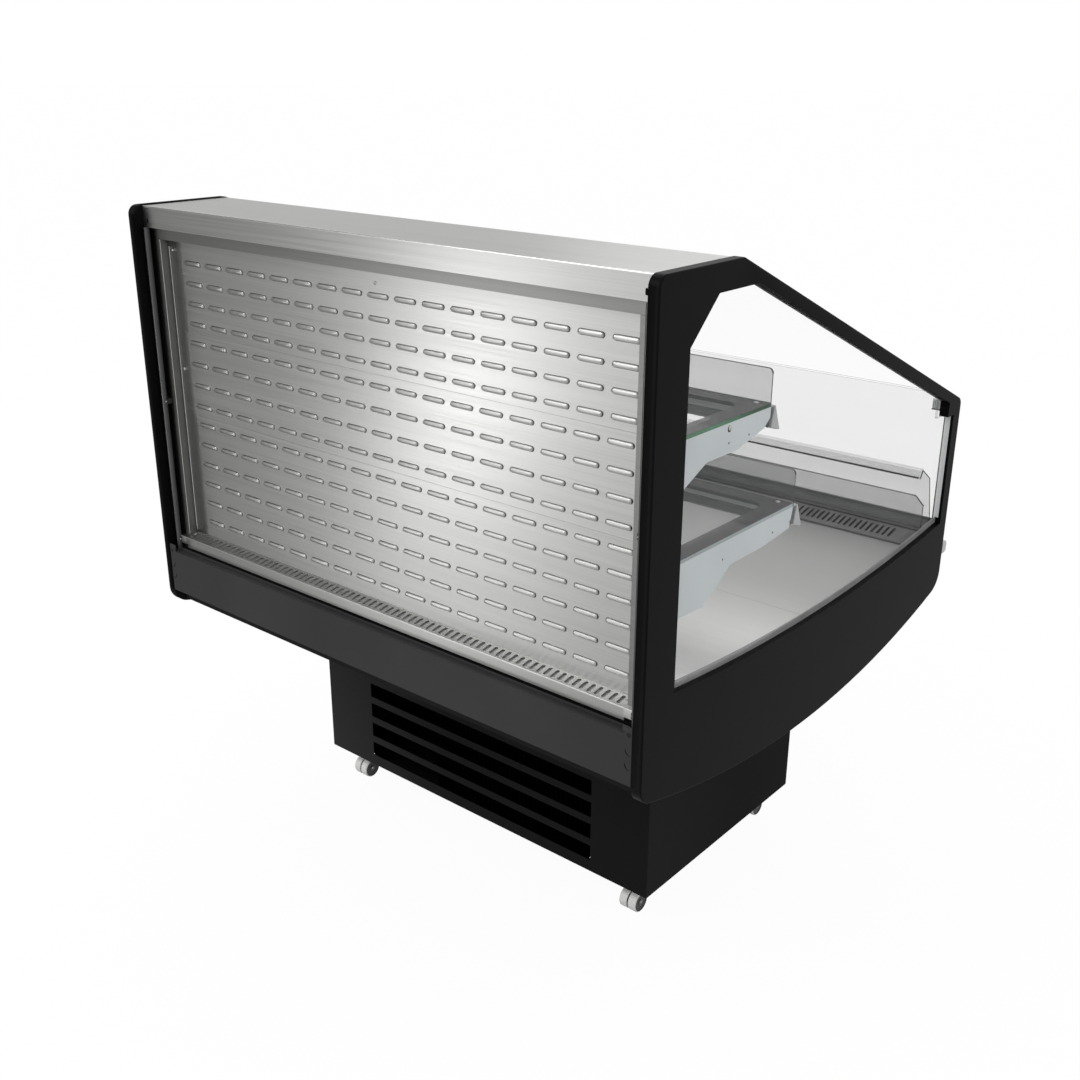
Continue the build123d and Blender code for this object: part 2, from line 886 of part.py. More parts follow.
with BuildPart() as shelf_fences:
    for place, shelf_z, shelf_depth, fence_height in shelves:
        fence_d = duct_front + shelf_depth - shelf_fence_t + gap
        strip_height = glass_t + fence_height - gap
        with BuildSketch(face_plane(fence_d)) as outline:
            with Locations((0, shelf_z + gap + strip_height / 2)):
                Rectangle(2 * shelf_half, strip_height)
            fillet(outline.vertices().group_by(Axis.Y)[-1], fence_corner)
        extrude(amount=-shelf_fence_t)
save(shelf_fences, "shelf_fences")

with BuildPart() as price_rails:
    for place, shelf_z, shelf_depth, fence_height in shelves:
        tip = duct_front + shelf_depth + 2 * gap
        with BuildSketch(side_plane(0)):
            with BuildLine():
                fold = [
                    (tip, shelf_z + glass_t),
                    (tip, shelf_z - rail_t),
                    (tip + rail_step, shelf_z - rail_t),
                    (tip + rail_out, shelf_z - rail_drop),
                ]
                Polyline(*folded(fold, rail_t), close=True)
            make_face()
        extrude(amount=shelf_half - rail_t, both=True)
save(price_rails, "price_rails")

with BuildPart() as shelf_lights:
    for place, shelf_z, shelf_depth, fence_height in shelves:
        bar_d = duct_front + shelf_depth - bar_setback
        with BuildSketch(side_plane(0)) as outline:
            with Locations((bar_d, shelf_z - bar_drop)):
                Rectangle(bar_width, bar_height)
            chamfer(outline.vertices().group_by(Axis.Y)[0], bar_height / 3)
        extrude(amount=shelf_half - bracket_t - gap, both=True)
save(shelf_lights, "shelf_lights")

# Base: a pan on two castor rails with angle posts up to the tub
castor_places = {
    "back_left": (-castor_x, castor_back_d + castor_trail),
    "back_right": (castor_x, castor_back_d + castor_trail),
    "front_left": (-castor_x, castor_front_d + castor_trail),
    "front_right": (castor_x, castor_front_d + castor_trail),
}
base_inner_half = base_half - panel_t - fit_gap
base_inner_back = base_back + panel_t + fit_gap
base_inner_front = base_front - panel_t - fit_gap
base_middle = (base_back + base_front) / 2
with BuildPart() as base_frame:
    with BuildSketch(level_plane(base_z)):
        with Locations((0, base_middle)):
            Rectangle(2 * base_inner_half, base_inner_front - base_inner_back)
    extrude(amount=base_pan_t)
    with BuildSketch(level_plane(rail_bottom_z)):
        with Locations((castor_x, base_middle), (-castor_x, base_middle)):
            Rectangle(rail_width, base_inner_front - base_inner_back - rail_end_gap)
    extrude(amount=rail_height)
    with BuildSketch(level_plane(base_z)):
        for end in (-1, 1):
            for wall, inward in ((base_inner_back, 1), (base_inner_front, -1)):
                leg_x = end * (base_inner_half - post_leg / 2)
                with Locations((leg_x, wall + inward * post_t / 2)):
                    Rectangle(post_leg, post_t)
                leg_d = wall + inward * post_leg / 2
                with Locations((end * (base_inner_half - post_t / 2), leg_d)):
                    Rectangle(post_t, post_leg)
    extrude(amount=belly_front_z - base_z)
    with BuildSketch(side_plane(0)):
        with BuildLine():
            belly_arc(0, body_depth, tub_inset - gap)
            Polyline(
                belly(0, tub_inset - gap),
                (0, height),
                (body_depth, height),
                belly(body_depth, tub_inset - gap),
            )
        make_face()
    extrude(amount=half, both=True, mode=Mode.SUBTRACT)
    with BuildSketch(level_plane(rail_bottom_z)):
        with Locations(*castor_places.values()):
            Circle(stem_r + running_gap)
    extrude(amount=rail_height + base_pan_t, mode=Mode.SUBTRACT)
save(base_frame, "base_frame")


def vented_panel(face_d, inward, cut_outs, holes):
    """Base panel across the length with its air slots, rectangular cut-outs and round holes."""
    top_z = belly(face_d, tub_inset - gap)[1]
    if face_d > body_depth / 2:
        top_z = belly(face_d - panel_t, tub_inset - gap)[1]
    with BuildPart() as panel:
        with BuildSketch(face_plane(face_d)):
            with Locations((0, (base_z + top_z) / 2)):
                Rectangle(2 * base_half, top_z - base_z)
            middle_z = vent_top_z - vent_height / 2 - (vent_count - 1) * vent_pitch / 2
            with Locations((0, middle_z)):
                with GridLocations(1, vent_pitch, 1, vent_count):
                    Rectangle(2 * vent_half, vent_height, mode=Mode.SUBTRACT)
            for x, z, wide, high in cut_outs:
                with Locations((x, z)):
                    Rectangle(wide, high, mode=Mode.SUBTRACT)
            for x, z, radius in holes:
                with Locations((x, z)):
                    Circle(radius, mode=Mode.SUBTRACT)
        extrude(amount=-inward * panel_t)
    return panel


grille_panel = vented_panel(base_back, 1, [], [])
save(grille_panel, "base_grille_panel")

cut_length = control_length - 2 * bezel + 2 * gap
cut_height = control_height - 2 * bezel + 2 * gap
control_cut = (control_x, control_z, cut_length, cut_height)
front_panel = vented_panel(base_front, -1, [control_cut], [(gland_x, gland_z, gland_r + gap)])
save(front_panel, "base_front_panel")

with BuildPart() as base_sides:
    side_back = base_back + panel_t + gap
    side_front = base_front - panel_t - gap
    with BuildSketch(side_plane(base_half - panel_t)):
        with BuildLine():
            Polyline(
                belly(side_back, tub_inset - gap),
                (side_back, base_z),
                (side_front, base_z),
                belly(side_front, tub_inset - gap),
            )
            belly_arc(side_back, side_front, tub_inset - gap)
        make_face()
    extrude(amount=panel_t)
    mirror(about=Plane.YZ)
save(base_sides, "base_side_panels")

# Castors: a fork that swivels in its rail, and twin wheels on one axle
for corner, (stem_x, stem_d) in castor_places.items():
    wheel_d = stem_d - castor_trail
    fork_top_z = rail_bottom_z - gap
    with BuildPart() as fork:
        with BuildSketch(side_plane(stem_x)) as outline:
            with Locations((wheel_d, wheel_r)):
                Circle(2.5 * axle_r)
            with BuildLine():
                Polyline(
                    (wheel_d - 2 * axle_r, wheel_r),
                    (wheel_d - 2 * axle_r, fork_top_z),
                    (stem_d + fork_boss_r / 2, fork_top_z),
                    (stem_d + fork_boss_r / 2, wheel_r + wheel_r / 2),
                    (wheel_d + 2 * axle_r, wheel_r),
                    close=True,
                )
            make_face()
        extrude(amount=fork_t / 2, both=True)
        with BuildSketch(level_plane(fork_top_z)):
            with Locations((stem_x, stem_d)):
                Circle(fork_boss_r)
        extrude(amount=-(fork_top_z - 2 * wheel_r - 2 * gap))
        with BuildSketch(level_plane(fork_top_z)):
            with Locations((stem_x, stem_d)):
                Circle(stem_r)
        extrude(amount=rail_height + gap)
        with BuildSketch(side_plane(stem_x)):
            with Locations((wheel_d, wheel_r)):
                Circle(axle_r + running_gap)
        extrude(amount=fork_t, both=True, mode=Mode.SUBTRACT)
    save(fork, f"castor_fork_{corner}")

    with BuildPart() as wheel:
        for end in (-1, 1):
            with BuildSketch(side_plane(stem_x + end * wheel_space / 2)):
                with Locations((wheel_d, wheel_r)):
                    Circle(wheel_r)
            extrude(amount=end * wheel_width)
        fillet(wheel.edges().filter_by(GeomType.CIRCLE), wheel_round)
        with BuildSketch(side_plane(stem_x)):
            with Locations((wheel_d, wheel_r)):
                Circle(axle_r)
        extrude(amount=wheel_space / 2 + wheel_width / 2, both=True)
    save(wheel, f"castor_wheel_{corner}")


def housing(part_name, x, z, plate_d, plate_length, plate_height, fan_r):
    """Fan plate with its inlet ring, motor bracket and motor, facing the back."""
    ring_depth = motor_length
    with BuildPart() as plate:
        with BuildSketch(face_plane(plate_d)):
            with Locations((x, z)):
                Rectangle(plate_length, plate_height)
                Circle(fan_r + bezel, mode=Mode.SUBTRACT)
        extrude(amount=-panel_t)
        with BuildSketch(face_plane(plate_d)):
            with Locations((x, z)):
                Circle(fan_r + bezel + panel_t)
                Circle(fan_r + bezel, mode=Mode.SUBTRACT)
        extrude(amount=-ring_depth)
        with BuildSketch(face_plane(plate_d + ring_depth)):
            with Locations((x, z)):
                Rectangle(2 * (fan_r + bezel + panel_t), 2 * post_t)
        extrude(amount=-post_t)
        with BuildSketch(face_plane(plate_d + ring_depth)):
            with Locations((x, z)):
                Circle(fan_r / 3)
        extrude(amount=-motor_length)
        with BuildSketch(face_plane(plate_d + ring_depth)):
            with Locations((x, z)):
                Circle(shaft_r + running_gap)
        extrude(amount=-shaft_depth - gap, mode=Mode.SUBTRACT)
    save(plate, part_name)


def rotor(part_name, x, z, plate_d, fan_r):
    """Fan rotor: a hub on a shaft, with pitched blades trimmed to a round sweep."""
    hub_r = fan_r / 3
    hub_back = plate_d + motor_length - gap
    hub_length = motor_length / 2
    blade_chord = hub_length / math.sin(math.radians(blade_pitch)) - 2 * blade_t
    centre_d = hub_back - hub_length / 2
    with BuildPart() as fan:
        with BuildSketch(face_plane(hub_back)):
            with Locations((x, z)):
                Circle(hub_r)
        extrude(amount=hub_length)
        turn = Plane(origin=(x, back_y + centre_d, z), x_dir=(1, 0, 0), z_dir=(0, -1, 0))
        with Locations(turn):
            with PolarLocations(hub_r + (fan_r - hub_r) / 2 - blade_t, blade_count):
                Box(fan_r - hub_r + 2 * blade_t, blade_chord, blade_t, rotation=(blade_pitch, 0, 0))
        with BuildSketch(face_plane(hub_back)):
            with Locations((x, z)):
                Circle(fan_r)
        extrude(amount=hub_length, mode=Mode.INTERSECT)
        with BuildSketch(face_plane(hub_back)):
            with Locations((x, z)):
                Circle(shaft_r)
        extrude(amount=-shaft_depth)
    save(fan, part_name)


def finned_coil(part_name, x, depth, bottom_z, coil_size, margin):
    """Tube-and-fin coil: a block whose fins stand out at the back and the front."""
    long, deep, high = coil_size
    with BuildPart() as coil:
        with BuildSketch(level_plane(bottom_z)):
            with Locations((x, depth + deep / 2)):
                Rectangle(long, deep)
        extrude(amount=high)
        fin_count = int((long - 2 * margin) / fin_pitch)
        for face_d in (depth + fin_depth / 2, depth + deep - fin_depth / 2):
            with BuildSketch(level_plane(bottom_z + margin)):
                with Locations((x, face_d)):
                    with GridLocations(fin_pitch, 1, fin_count, 1):
                        Rectangle(fin_space, fin_depth)
            extrude(amount=high - 2 * margin, mode=Mode.SUBTRACT)
    save(coil, part_name)


# Condenser behind the air slots, its fan and the compressor
coil_size = (coil_length, coil_depth, coil_height)
finned_coil("condenser_coil", coil_x, coil_back, pan_top_z, coil_size, fin_pitch)
coil_middle = (coil_x, pan_top_z + coil_height / 2, coil_back + coil_depth)
housing("condenser_fan_shroud", *coil_middle, coil_length, coil_height, condenser_fan_r)
rotor("condenser_fan_rotor", *coil_middle, condenser_fan_r)

with BuildPart() as compressor:
    with BuildSketch(level_plane(pan_top_z)):
        with Locations((compressor_x, compressor_d)):
            RectangleRounded(2.4 * compressor_r, 2 * compressor_r, compressor_r / 4)
    extrude(amount=post_t)
    with BuildSketch(level_plane(pan_top_z)):
        with Locations((compressor_x, compressor_d)):
            Circle(compressor_r)
    extrude(amount=compressor_height)
    fillet(compressor.edges().filter_by(GeomType.CIRCLE).sort_by(Axis.Z)[-1], compressor_r / 2)
save(compressor, "compressor")

# Evaporator and its fan under the deck
evaporator_size = (evaporator_length, evaporator_depth, evaporator_height)
finned_coil("evaporator_coil", evaporator_x, evaporator_back, tub_floor_z, evaporator_size, fin_pitch)
fan_plate_height = deck_z - sheet - tub_floor_z
fan_middle = (0, tub_floor_z + fan_plate_height / 2, evaporator_fan_d)
housing("evaporator_fan_plate", *fan_middle, 2 * clear_half, fan_plate_height, evaporator_fan_r)
rotor("evaporator_fan_rotor", *fan_middle, evaporator_fan_r)


def pipe(path_points, radius):
    """Tube of one radius along runs joined by bends, made inside a part."""
    with BuildLine() as path:
        if len(path_points) > 2:
            FilletPolyline(*path_points, radius=pipe_bend)
        else:
            Line(*path_points)
    with BuildSketch(Plane(origin=path.line @ 0, z_dir=path.line % 0)) as section:
        Circle(radius)
    sweep(section.sketch, path=path.line)


# Pipes: discharge to the condenser, suction from the evaporator, and the drain to the tray
compressor_top_z = pan_top_z + compressor_height
coil_end_x = coil_x - coil_length / 2
evaporator_end_x = evaporator_x - evaporator_length / 2
coil_pipe_z = pan_top_z + coil_height * 0.8
evaporator_pipe_d = evaporator_back + evaporator_depth / 2
evaporator_pipe_z = tub_floor_z + evaporator_height / 2
compressor_y = back_y + compressor_d
coil_pipe_y = back_y + coil_back + coil_depth / 2
loop_z = compressor_top_z + 2 * pipe_bend
with BuildPart() as pipework:
    discharge_x = compressor_x + 3 * pipe_r
    pipe(
        [
            (discharge_x, compressor_y, compressor_top_z),
            (discharge_x, compressor_y, loop_z),
            (discharge_x, coil_pipe_y, loop_z),
            (discharge_x, coil_pipe_y, coil_pipe_z),
            (coil_end_x, coil_pipe_y, coil_pipe_z),
        ],
        pipe_r,
    )
    suction_x = compressor_x - 3 * pipe_r
    pipe(
        [
            (suction_x, compressor_y, compressor_top_z),
            (suction_x, compressor_y, loop_z),
            (pipe_x, back_y + pipe_d, loop_z),
            (pipe_x, back_y + pipe_d, evaporator_pipe_z),
            (pipe_x, back_y + evaporator_pipe_d, evaporator_pipe_z),
            (evaporator_end_x, back_y + evaporator_pipe_d, evaporator_pipe_z),
        ],
        pipe_r,
    )
    pipe(
        [
            (tray_x, back_y + tray_d, pan_top_z + tray_height / 2),
            (tray_x, back_y + tray_d, tub_floor_z),
        ],
        drain_r,
    )
save(pipework, "pipework")

with BuildPart() as tray:
    with BuildSketch(level_plane(pan_top_z)):
        with Locations((tray_x, tray_d)):
            Rectangle(tray_length, tray_width)
    extrude(amount=tray_height)
    offset(amount=-panel_t, openings=tray.faces().sort_by(Axis.Z)[-1])
save(tray, "condensate_tray")

# Control unit with its rocker switch, and the gland for the supply
control_back = base_front + bezel_out
rocker_x = control_x + control_length / 2 - 2 * bezel - rocker_length / 2
with BuildPart() as control:
    with BuildSketch(face_plane(control_back)):
        with Locations((control_x, control_z)):
            RectangleRounded(control_length, control_height, bezel)
    extrude(amount=bezel_out)
    with BuildSketch(face_plane(base_front)):
        with Locations((control_x, control_z)):
            Rectangle(control_length - 2 * bezel, control_height - 2 * bezel)
    extrude(amount=control_depth)
    with BuildSketch(face_plane(control_back)):
        with Locations((rocker_x, control_z)):
            Rectangle(rocker_length + 2 * gap, rocker_height + 10 * gap)
    extrude(amount=rocker_depth, mode=Mode.SUBTRACT)
    with BuildSketch(side_plane(rocker_x)):
        with Locations((control_back - rocker_pin_r - gap, control_z)):
            Circle(rocker_pin_r + running_gap)
    extrude(amount=rocker_length / 2 + bezel / 2, both=True, mode=Mode.SUBTRACT)
save(control, "control_unit")

with BuildPart() as rocker:
    pivot_d = control_back - rocker_pin_r - gap
    reach = rocker_height / 2
    tilt = math.tan(math.radians(rocker_tilt))
    with BuildSketch(side_plane(rocker_x)):
        with BuildLine():
            Polyline(
                (pivot_d - rocker_pin_r - bezel / 2, control_z - reach / 2),
                (pivot_d - rocker_pin_r - bezel / 2, control_z + reach / 2),
                (pivot_d, control_z + reach),
                (pivot_d + rocker_out - reach * tilt, control_z + reach),
                (pivot_d + rocker_out, control_z),
                (pivot_d + rocker_out + reach * tilt, control_z - reach),
                (pivot_d, control_z - reach),
                close=True,
            )
        make_face()
    extrude(amount=rocker_length / 2, both=True)
    with BuildSketch(side_plane(rocker_x)):
        with Locations((pivot_d, control_z)):
            Circle(rocker_pin_r)
    extrude(amount=rocker_length / 2 + bezel / 4, both=True)
save(rocker, "power_rocker")

with BuildPart() as gland:
    with BuildSketch(face_plane(base_front + gland_length)):
        with Locations((gland_x, gland_z)):
            RegularPolygon(gland_nut_r, 6)
            Circle(gland_bore_r, mode=Mode.SUBTRACT)
    extrude(amount=gland_length)
    with BuildSketch(face_plane(base_front)):
        with Locations((gland_x, gland_z)):
            Circle(gland_r)
            Circle(gland_bore_r, mode=Mode.SUBTRACT)
    extrude(amount=gland_length)
save(gland, "cable_gland")
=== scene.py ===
import json
import math

import bmesh
import bpy
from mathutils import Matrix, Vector


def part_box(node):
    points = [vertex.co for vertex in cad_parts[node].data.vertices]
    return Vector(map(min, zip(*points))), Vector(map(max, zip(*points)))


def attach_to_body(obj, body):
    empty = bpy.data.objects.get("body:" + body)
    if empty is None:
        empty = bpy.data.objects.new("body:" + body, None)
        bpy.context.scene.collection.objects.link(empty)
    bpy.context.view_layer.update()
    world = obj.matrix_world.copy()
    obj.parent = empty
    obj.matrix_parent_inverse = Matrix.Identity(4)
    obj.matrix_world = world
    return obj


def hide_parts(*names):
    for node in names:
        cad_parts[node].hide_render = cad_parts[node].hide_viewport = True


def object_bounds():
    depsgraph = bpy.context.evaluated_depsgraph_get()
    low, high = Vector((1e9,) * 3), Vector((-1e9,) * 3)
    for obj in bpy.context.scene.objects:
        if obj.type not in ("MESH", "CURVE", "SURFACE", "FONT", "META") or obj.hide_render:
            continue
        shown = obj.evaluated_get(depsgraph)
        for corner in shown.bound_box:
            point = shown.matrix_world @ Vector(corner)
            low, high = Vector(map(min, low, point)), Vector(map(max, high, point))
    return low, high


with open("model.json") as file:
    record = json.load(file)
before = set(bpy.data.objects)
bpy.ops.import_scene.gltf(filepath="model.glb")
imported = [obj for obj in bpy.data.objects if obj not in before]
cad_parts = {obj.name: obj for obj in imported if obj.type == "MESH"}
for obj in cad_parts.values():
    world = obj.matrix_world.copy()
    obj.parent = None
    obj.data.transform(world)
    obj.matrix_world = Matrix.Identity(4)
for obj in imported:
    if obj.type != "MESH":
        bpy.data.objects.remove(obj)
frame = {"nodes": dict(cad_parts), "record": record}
cad_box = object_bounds()

# Shapes are given in millimetres, the scene is in metres
MM = 0.001
BACK_Y = cad_box[0].y
CABINET = "cabinet"
SIDES = (-1, 1)

# Camera, as solved from the photograph
CAMERA_PLACE = (1.5234, -1.8957, 1.5422)
CAMERA_AZIMUTH = 39.84
CAMERA_DOWN = 21.21
CAMERA_ROLL = 0.25
CAMERA_LENS = 41.89
CAMERA_SENSOR = 36.0
CAMERA_CLIP = (0.05, 60.0)


def at(x, depth, z):
    """Point in metres from a length, a depth from the back and a height in millimetres."""
    return Vector((x * MM, BACK_Y + depth * MM, z * MM))


# Materials. Colours are linear, and places and fades are in metres in the part's frame

NOISE_SPAN = (0.3, 0.7)
EDGE_TURN = 0.6
GLASS_IOR = 1.5
GRAIN_BUMP, GRAIN_DEPTH = 0.4, 0.00002

BRUSHING = (1.0, 0.04, 0.02)
BRUSHED_LINES, BRUSHED_STREAKS = (3.0, 900.0, 900.0), (1.2, 130.0, 130.0)
LINE_SHARE, STREAK_SHARE = 0.6, 0.4
BRUSHED_BUMP, BRUSHED_DEPTH = 0.25, 0.00001

SMEARS = (1.5, 14.0, 14.0)
SMEAR_SHADES = (0.85, 1.1)
CLEAR_BANDS = 0.1
CLEAR_ROUGH = (0.03, 0.048)

PRINT_BORDER = 0.034
PRINT_CORNER = 0.022
PRINT_INKS = ((0.05, 0.051, 0.051), (0.075, 0.077, 0.077))
PRINT_CLEAR = (0.5, 0.56, 0.53)
PRINT_ROUGH = (0.05, 0.1)
PRINT_SMEARS = 5.0
PRINT_GLOSS = 0.25
CUT_EDGE_FADE = (-0.03, 0.09)
CLEAR_ALPHA, INK_ALPHA, CUT_EDGE_ALPHA = 0.1, 0.78, 0.95

BLACK_GLOSS = 0.07
# Painted light on the base's black coat: where it turns paler along a panel
BASE_LIGHT_FADE = (-0.5, 0.0)
SIDE_LIGHT_FADE = (-0.3, 0.1)
# Painted light on the deck pans: a lit colour at the back fading to a shaded one at the front
DECK_LIGHT_FADE = (-0.45, 0.1)
DECK_BACK_LIGHT, DECK_FRONT_SHADE = (1.0, 1.0, 0.995), (0.4, 0.4, 0.398)
DECK_LIFT = 2.0


def new_material(name):
    """A material with its principled shader."""
    material = bpy.data.materials.new(name)
    material.use_nodes = True
    shader = material.node_tree.nodes["Principled BSDF"]
    return material, material.node_tree, shader


def add_node(tree, kind, **values):
    """A shader node with some of its properties and inputs set."""
    node = tree.nodes.new(kind)
    for key, value in values.items():
        if key in node.inputs:
            node.inputs[key].default_value = value
        else:
            setattr(node, key, value)
    return node


def math_node(tree, operation, first, second=None):
    """A math node on two sockets or numbers, and its result."""
    node = tree.nodes.new("ShaderNodeMath")
    node.operation = operation
    for socket, value in zip(node.inputs, (first, second)):
        if isinstance(value, bpy.types.NodeSocket):
            tree.links.new(value, socket)
        elif value is not None:
            socket.default_value = value
    return node.outputs[0]


def noise(tree, scale, stretch=(1.0, 1.0, 1.0), detail=3.0):
    """Noise in the part's own frame, stretched along the axes with small numbers."""
    place = add_node(tree, "ShaderNodeTexCoord")
    mapping = add_node(tree, "ShaderNodeMapping")
    mapping.inputs["Scale"].default_value = stretch
    texture = add_node(tree, "ShaderNodeTexNoise", Scale=scale, Detail=detail)
    tree.links.new(place.outputs["Object"], mapping.inputs["Vector"])
    tree.links.new(mapping.outputs["Vector"], texture.inputs["Vector"])
    return texture.outputs["Fac"]


def map_range(tree, value, source, target=(0.0, 1.0), curve="LINEAR"):
    """A value mapped from one range onto another."""
    node = add_node(tree, "ShaderNodeMapRange", interpolation_type=curve)
    for name, limit in zip(("From Min", "From Max", "To Min", "To Max"), (*source, *target)):
        node.inputs[name].default_value = limit
    tree.links.new(value, node.inputs["Value"])
    return node.outputs["Result"]


def span(tree, factor, low, high):
    """The middle of a noise mapped onto a range."""
    return map_range(tree, factor, NOISE_SPAN, (low, high))


def smooth_step(tree, value, start, end):
    """Smooth rise from 0 at one value to 1 at another."""
    return map_range(tree, value, (start, end), curve="SMOOTHSTEP")


def ramp(tree, factor, low, high):
    """A two-colour ramp over the middle of a noise."""
    node = tree.nodes.new("ShaderNodeValToRGB")
    for element, place, colour in zip(node.color_ramp.elements, NOISE_SPAN, (low, high)):
        element.position = place
        element.color = (*colour, 1.0)
    tree.links.new(factor, node.inputs["Fac"])
    return node.outputs["Color"]


def shade(colour, factor):
    """A colour scaled towards black or white."""
    return tuple(min(1.0, channel * factor) for channel in colour)


def varied(tree, factor, colour, amount):
    """A colour that a noise makes darker and lighter by a share."""
    return ramp(tree, factor, shade(colour, 1 - amount), shade(colour, 1 + amount))


def bump(tree, shader, height, strength, distance):
    """Bump from a height."""
    node = add_node(tree, "ShaderNodeBump", Strength=strength, Distance=distance)
    tree.links.new(height, node.inputs["Height"])
    tree.links.new(node.outputs["Normal"], shader.inputs["Normal"])


def surface(name, colour, vary, cloud, rough, grain=1500.0, metallic=0.0, specular=0.5):
    """An opaque finish with cloudy colour, grained roughness and a fine bump."""
    material, tree, shader = new_material(name)
    clouds = noise(tree, cloud, detail=4.0)
    tree.links.new(varied(tree, clouds, colour, vary), shader.inputs["Base Color"])
    grains = noise(tree, grain, detail=2.0)
    tree.links.new(span(tree, grains, *rough), shader.inputs["Roughness"])
    bump(tree, shader, grains, GRAIN_BUMP, GRAIN_DEPTH)
    shader.inputs["Metallic"].default_value = metallic
    shader.inputs["Specular IOR Level"].default_value = specular
    return material


def brushed_steel(name, colour, rough, anisotropic, metallic=1.0, streak=0.1):
    """Stainless steel brushed along its length, whose highlights stretch across the brushing."""
    material, tree, shader = new_material(name)
    lines = noise(tree, 1.0, BRUSHED_LINES)
    streaks = noise(tree, 1.0, BRUSHED_STREAKS, detail=4.0)
    both = math_node(tree, "ADD", math_node(tree, "MULTIPLY", lines, LINE_SHARE),
                     math_node(tree, "MULTIPLY", streaks, STREAK_SHARE))
    tree.links.new(varied(tree, both, colour, streak), shader.inputs["Base Color"])
    tree.links.new(span(tree, lines, *rough), shader.inputs["Roughness"])
    bump(tree, shader, lines, BRUSHED_BUMP, BRUSHED_DEPTH)
    geometry = add_node(tree, "ShaderNodeNewGeometry")
    across = add_node(tree, "ShaderNodeVectorMath", operation="CROSS_PRODUCT")
    across.inputs[1].default_value = BRUSHING
    tree.links.new(geometry.outputs["Normal"], across.inputs[0])
    tree.links.new(across.outputs[0], shader.inputs["Tangent"])
    shader.inputs["Metallic"].default_value = metallic
    shader.inputs["Anisotropic"].default_value = anisotropic
    return material


def normal_part(tree, axis):
    """Size of the surface normal's part along one axis."""
    geometry = add_node(tree, "ShaderNodeNewGeometry")
    parts = add_node(tree, "ShaderNodeSeparateXYZ")
    tree.links.new(geometry.outputs["True Normal"], parts.inputs[0])
    return math_node(tree, "ABSOLUTE", parts.outputs[axis])


def mixed_colour(tree, factor, first, second):
    """A mix of two colours or colour sockets."""
    node = add_node(tree, "ShaderNodeMix", data_type="RGBA")
    tree.links.new(factor, node.inputs["Factor"])
    for socket, colour in ((node.inputs[6], first), (node.inputs[7], second)):
        if isinstance(colour, bpy.types.NodeSocket):
            tree.links.new(colour, socket)
        else:
            socket.default_value = (*colour, 1.0)
    return node.outputs[2]


def clear_sheet(name, colour, alpha, edge_colour, edge_alpha, face_axis=None, end_axis=None):
    """Clear glass or plastic: faint on its faces, with soft bands, and stronger on its cut edges.

    Edges are where the surface doesn't face along face_axis, or where it faces along end_axis.
    """
    material, tree, shader = new_material(name)
    if face_axis:
        edge = math_node(tree, "LESS_THAN", normal_part(tree, face_axis), EDGE_TURN)
    else:
        edge = math_node(tree, "GREATER_THAN", normal_part(tree, end_axis), EDGE_TURN)
    smears = noise(tree, 1.0, SMEARS, detail=2.0)
    faces = ramp(tree, smears, *(shade(colour, factor) for factor in SMEAR_SHADES))
    tree.links.new(mixed_colour(tree, edge, faces, edge_colour), shader.inputs["Base Color"])
    clear = math_node(tree, "MULTIPLY", math_node(tree, "SUBTRACT", 1.0, edge),
                      span(tree, smears, alpha * (1 - CLEAR_BANDS), alpha * (1 + CLEAR_BANDS)))
    both = math_node(tree, "ADD", clear, math_node(tree, "MULTIPLY", edge, edge_alpha))
    tree.links.new(both, shader.inputs["Alpha"])
    tree.links.new(span(tree, smears, *CLEAR_ROUGH), shader.inputs["Roughness"])
    shader.inputs["IOR"].default_value = GLASS_IOR
    return material


def part_place(tree, axis, kind="Object"):
    """A place along one axis in the part's own frame, in metres, or another coordinate."""
    place = add_node(tree, "ShaderNodeTexCoord")
    parts = add_node(tree, "ShaderNodeSeparateXYZ")
    tree.links.new(place.outputs[kind], parts.inputs[0])
    return parts.outputs[axis]


def rounded_box_distance(tree, centre, half_size, radius):
    """Distance from a rounded rectangle in the level plane, positive outside, in metres."""
    sides = []
    for axis, middle, half in zip(("X", "Y"), centre, half_size):
        offset = math_node(tree, "ABSOLUTE", math_node(tree, "SUBTRACT", part_place(tree, axis), middle))
        sides.append(math_node(tree, "SUBTRACT", offset, half - radius))
    outside = [math_node(tree, "MAXIMUM", side, 0.0) for side in sides]
    squares = [math_node(tree, "MULTIPLY", side, side) for side in outside]
    corner = math_node(tree, "SQRT", math_node(tree, "ADD", *squares))
    inside = math_node(tree, "MINIMUM", math_node(tree, "MAXIMUM", *sides), 0.0)
    return math_node(tree, "SUBTRACT", math_node(tree, "ADD", corner, inside), radius)


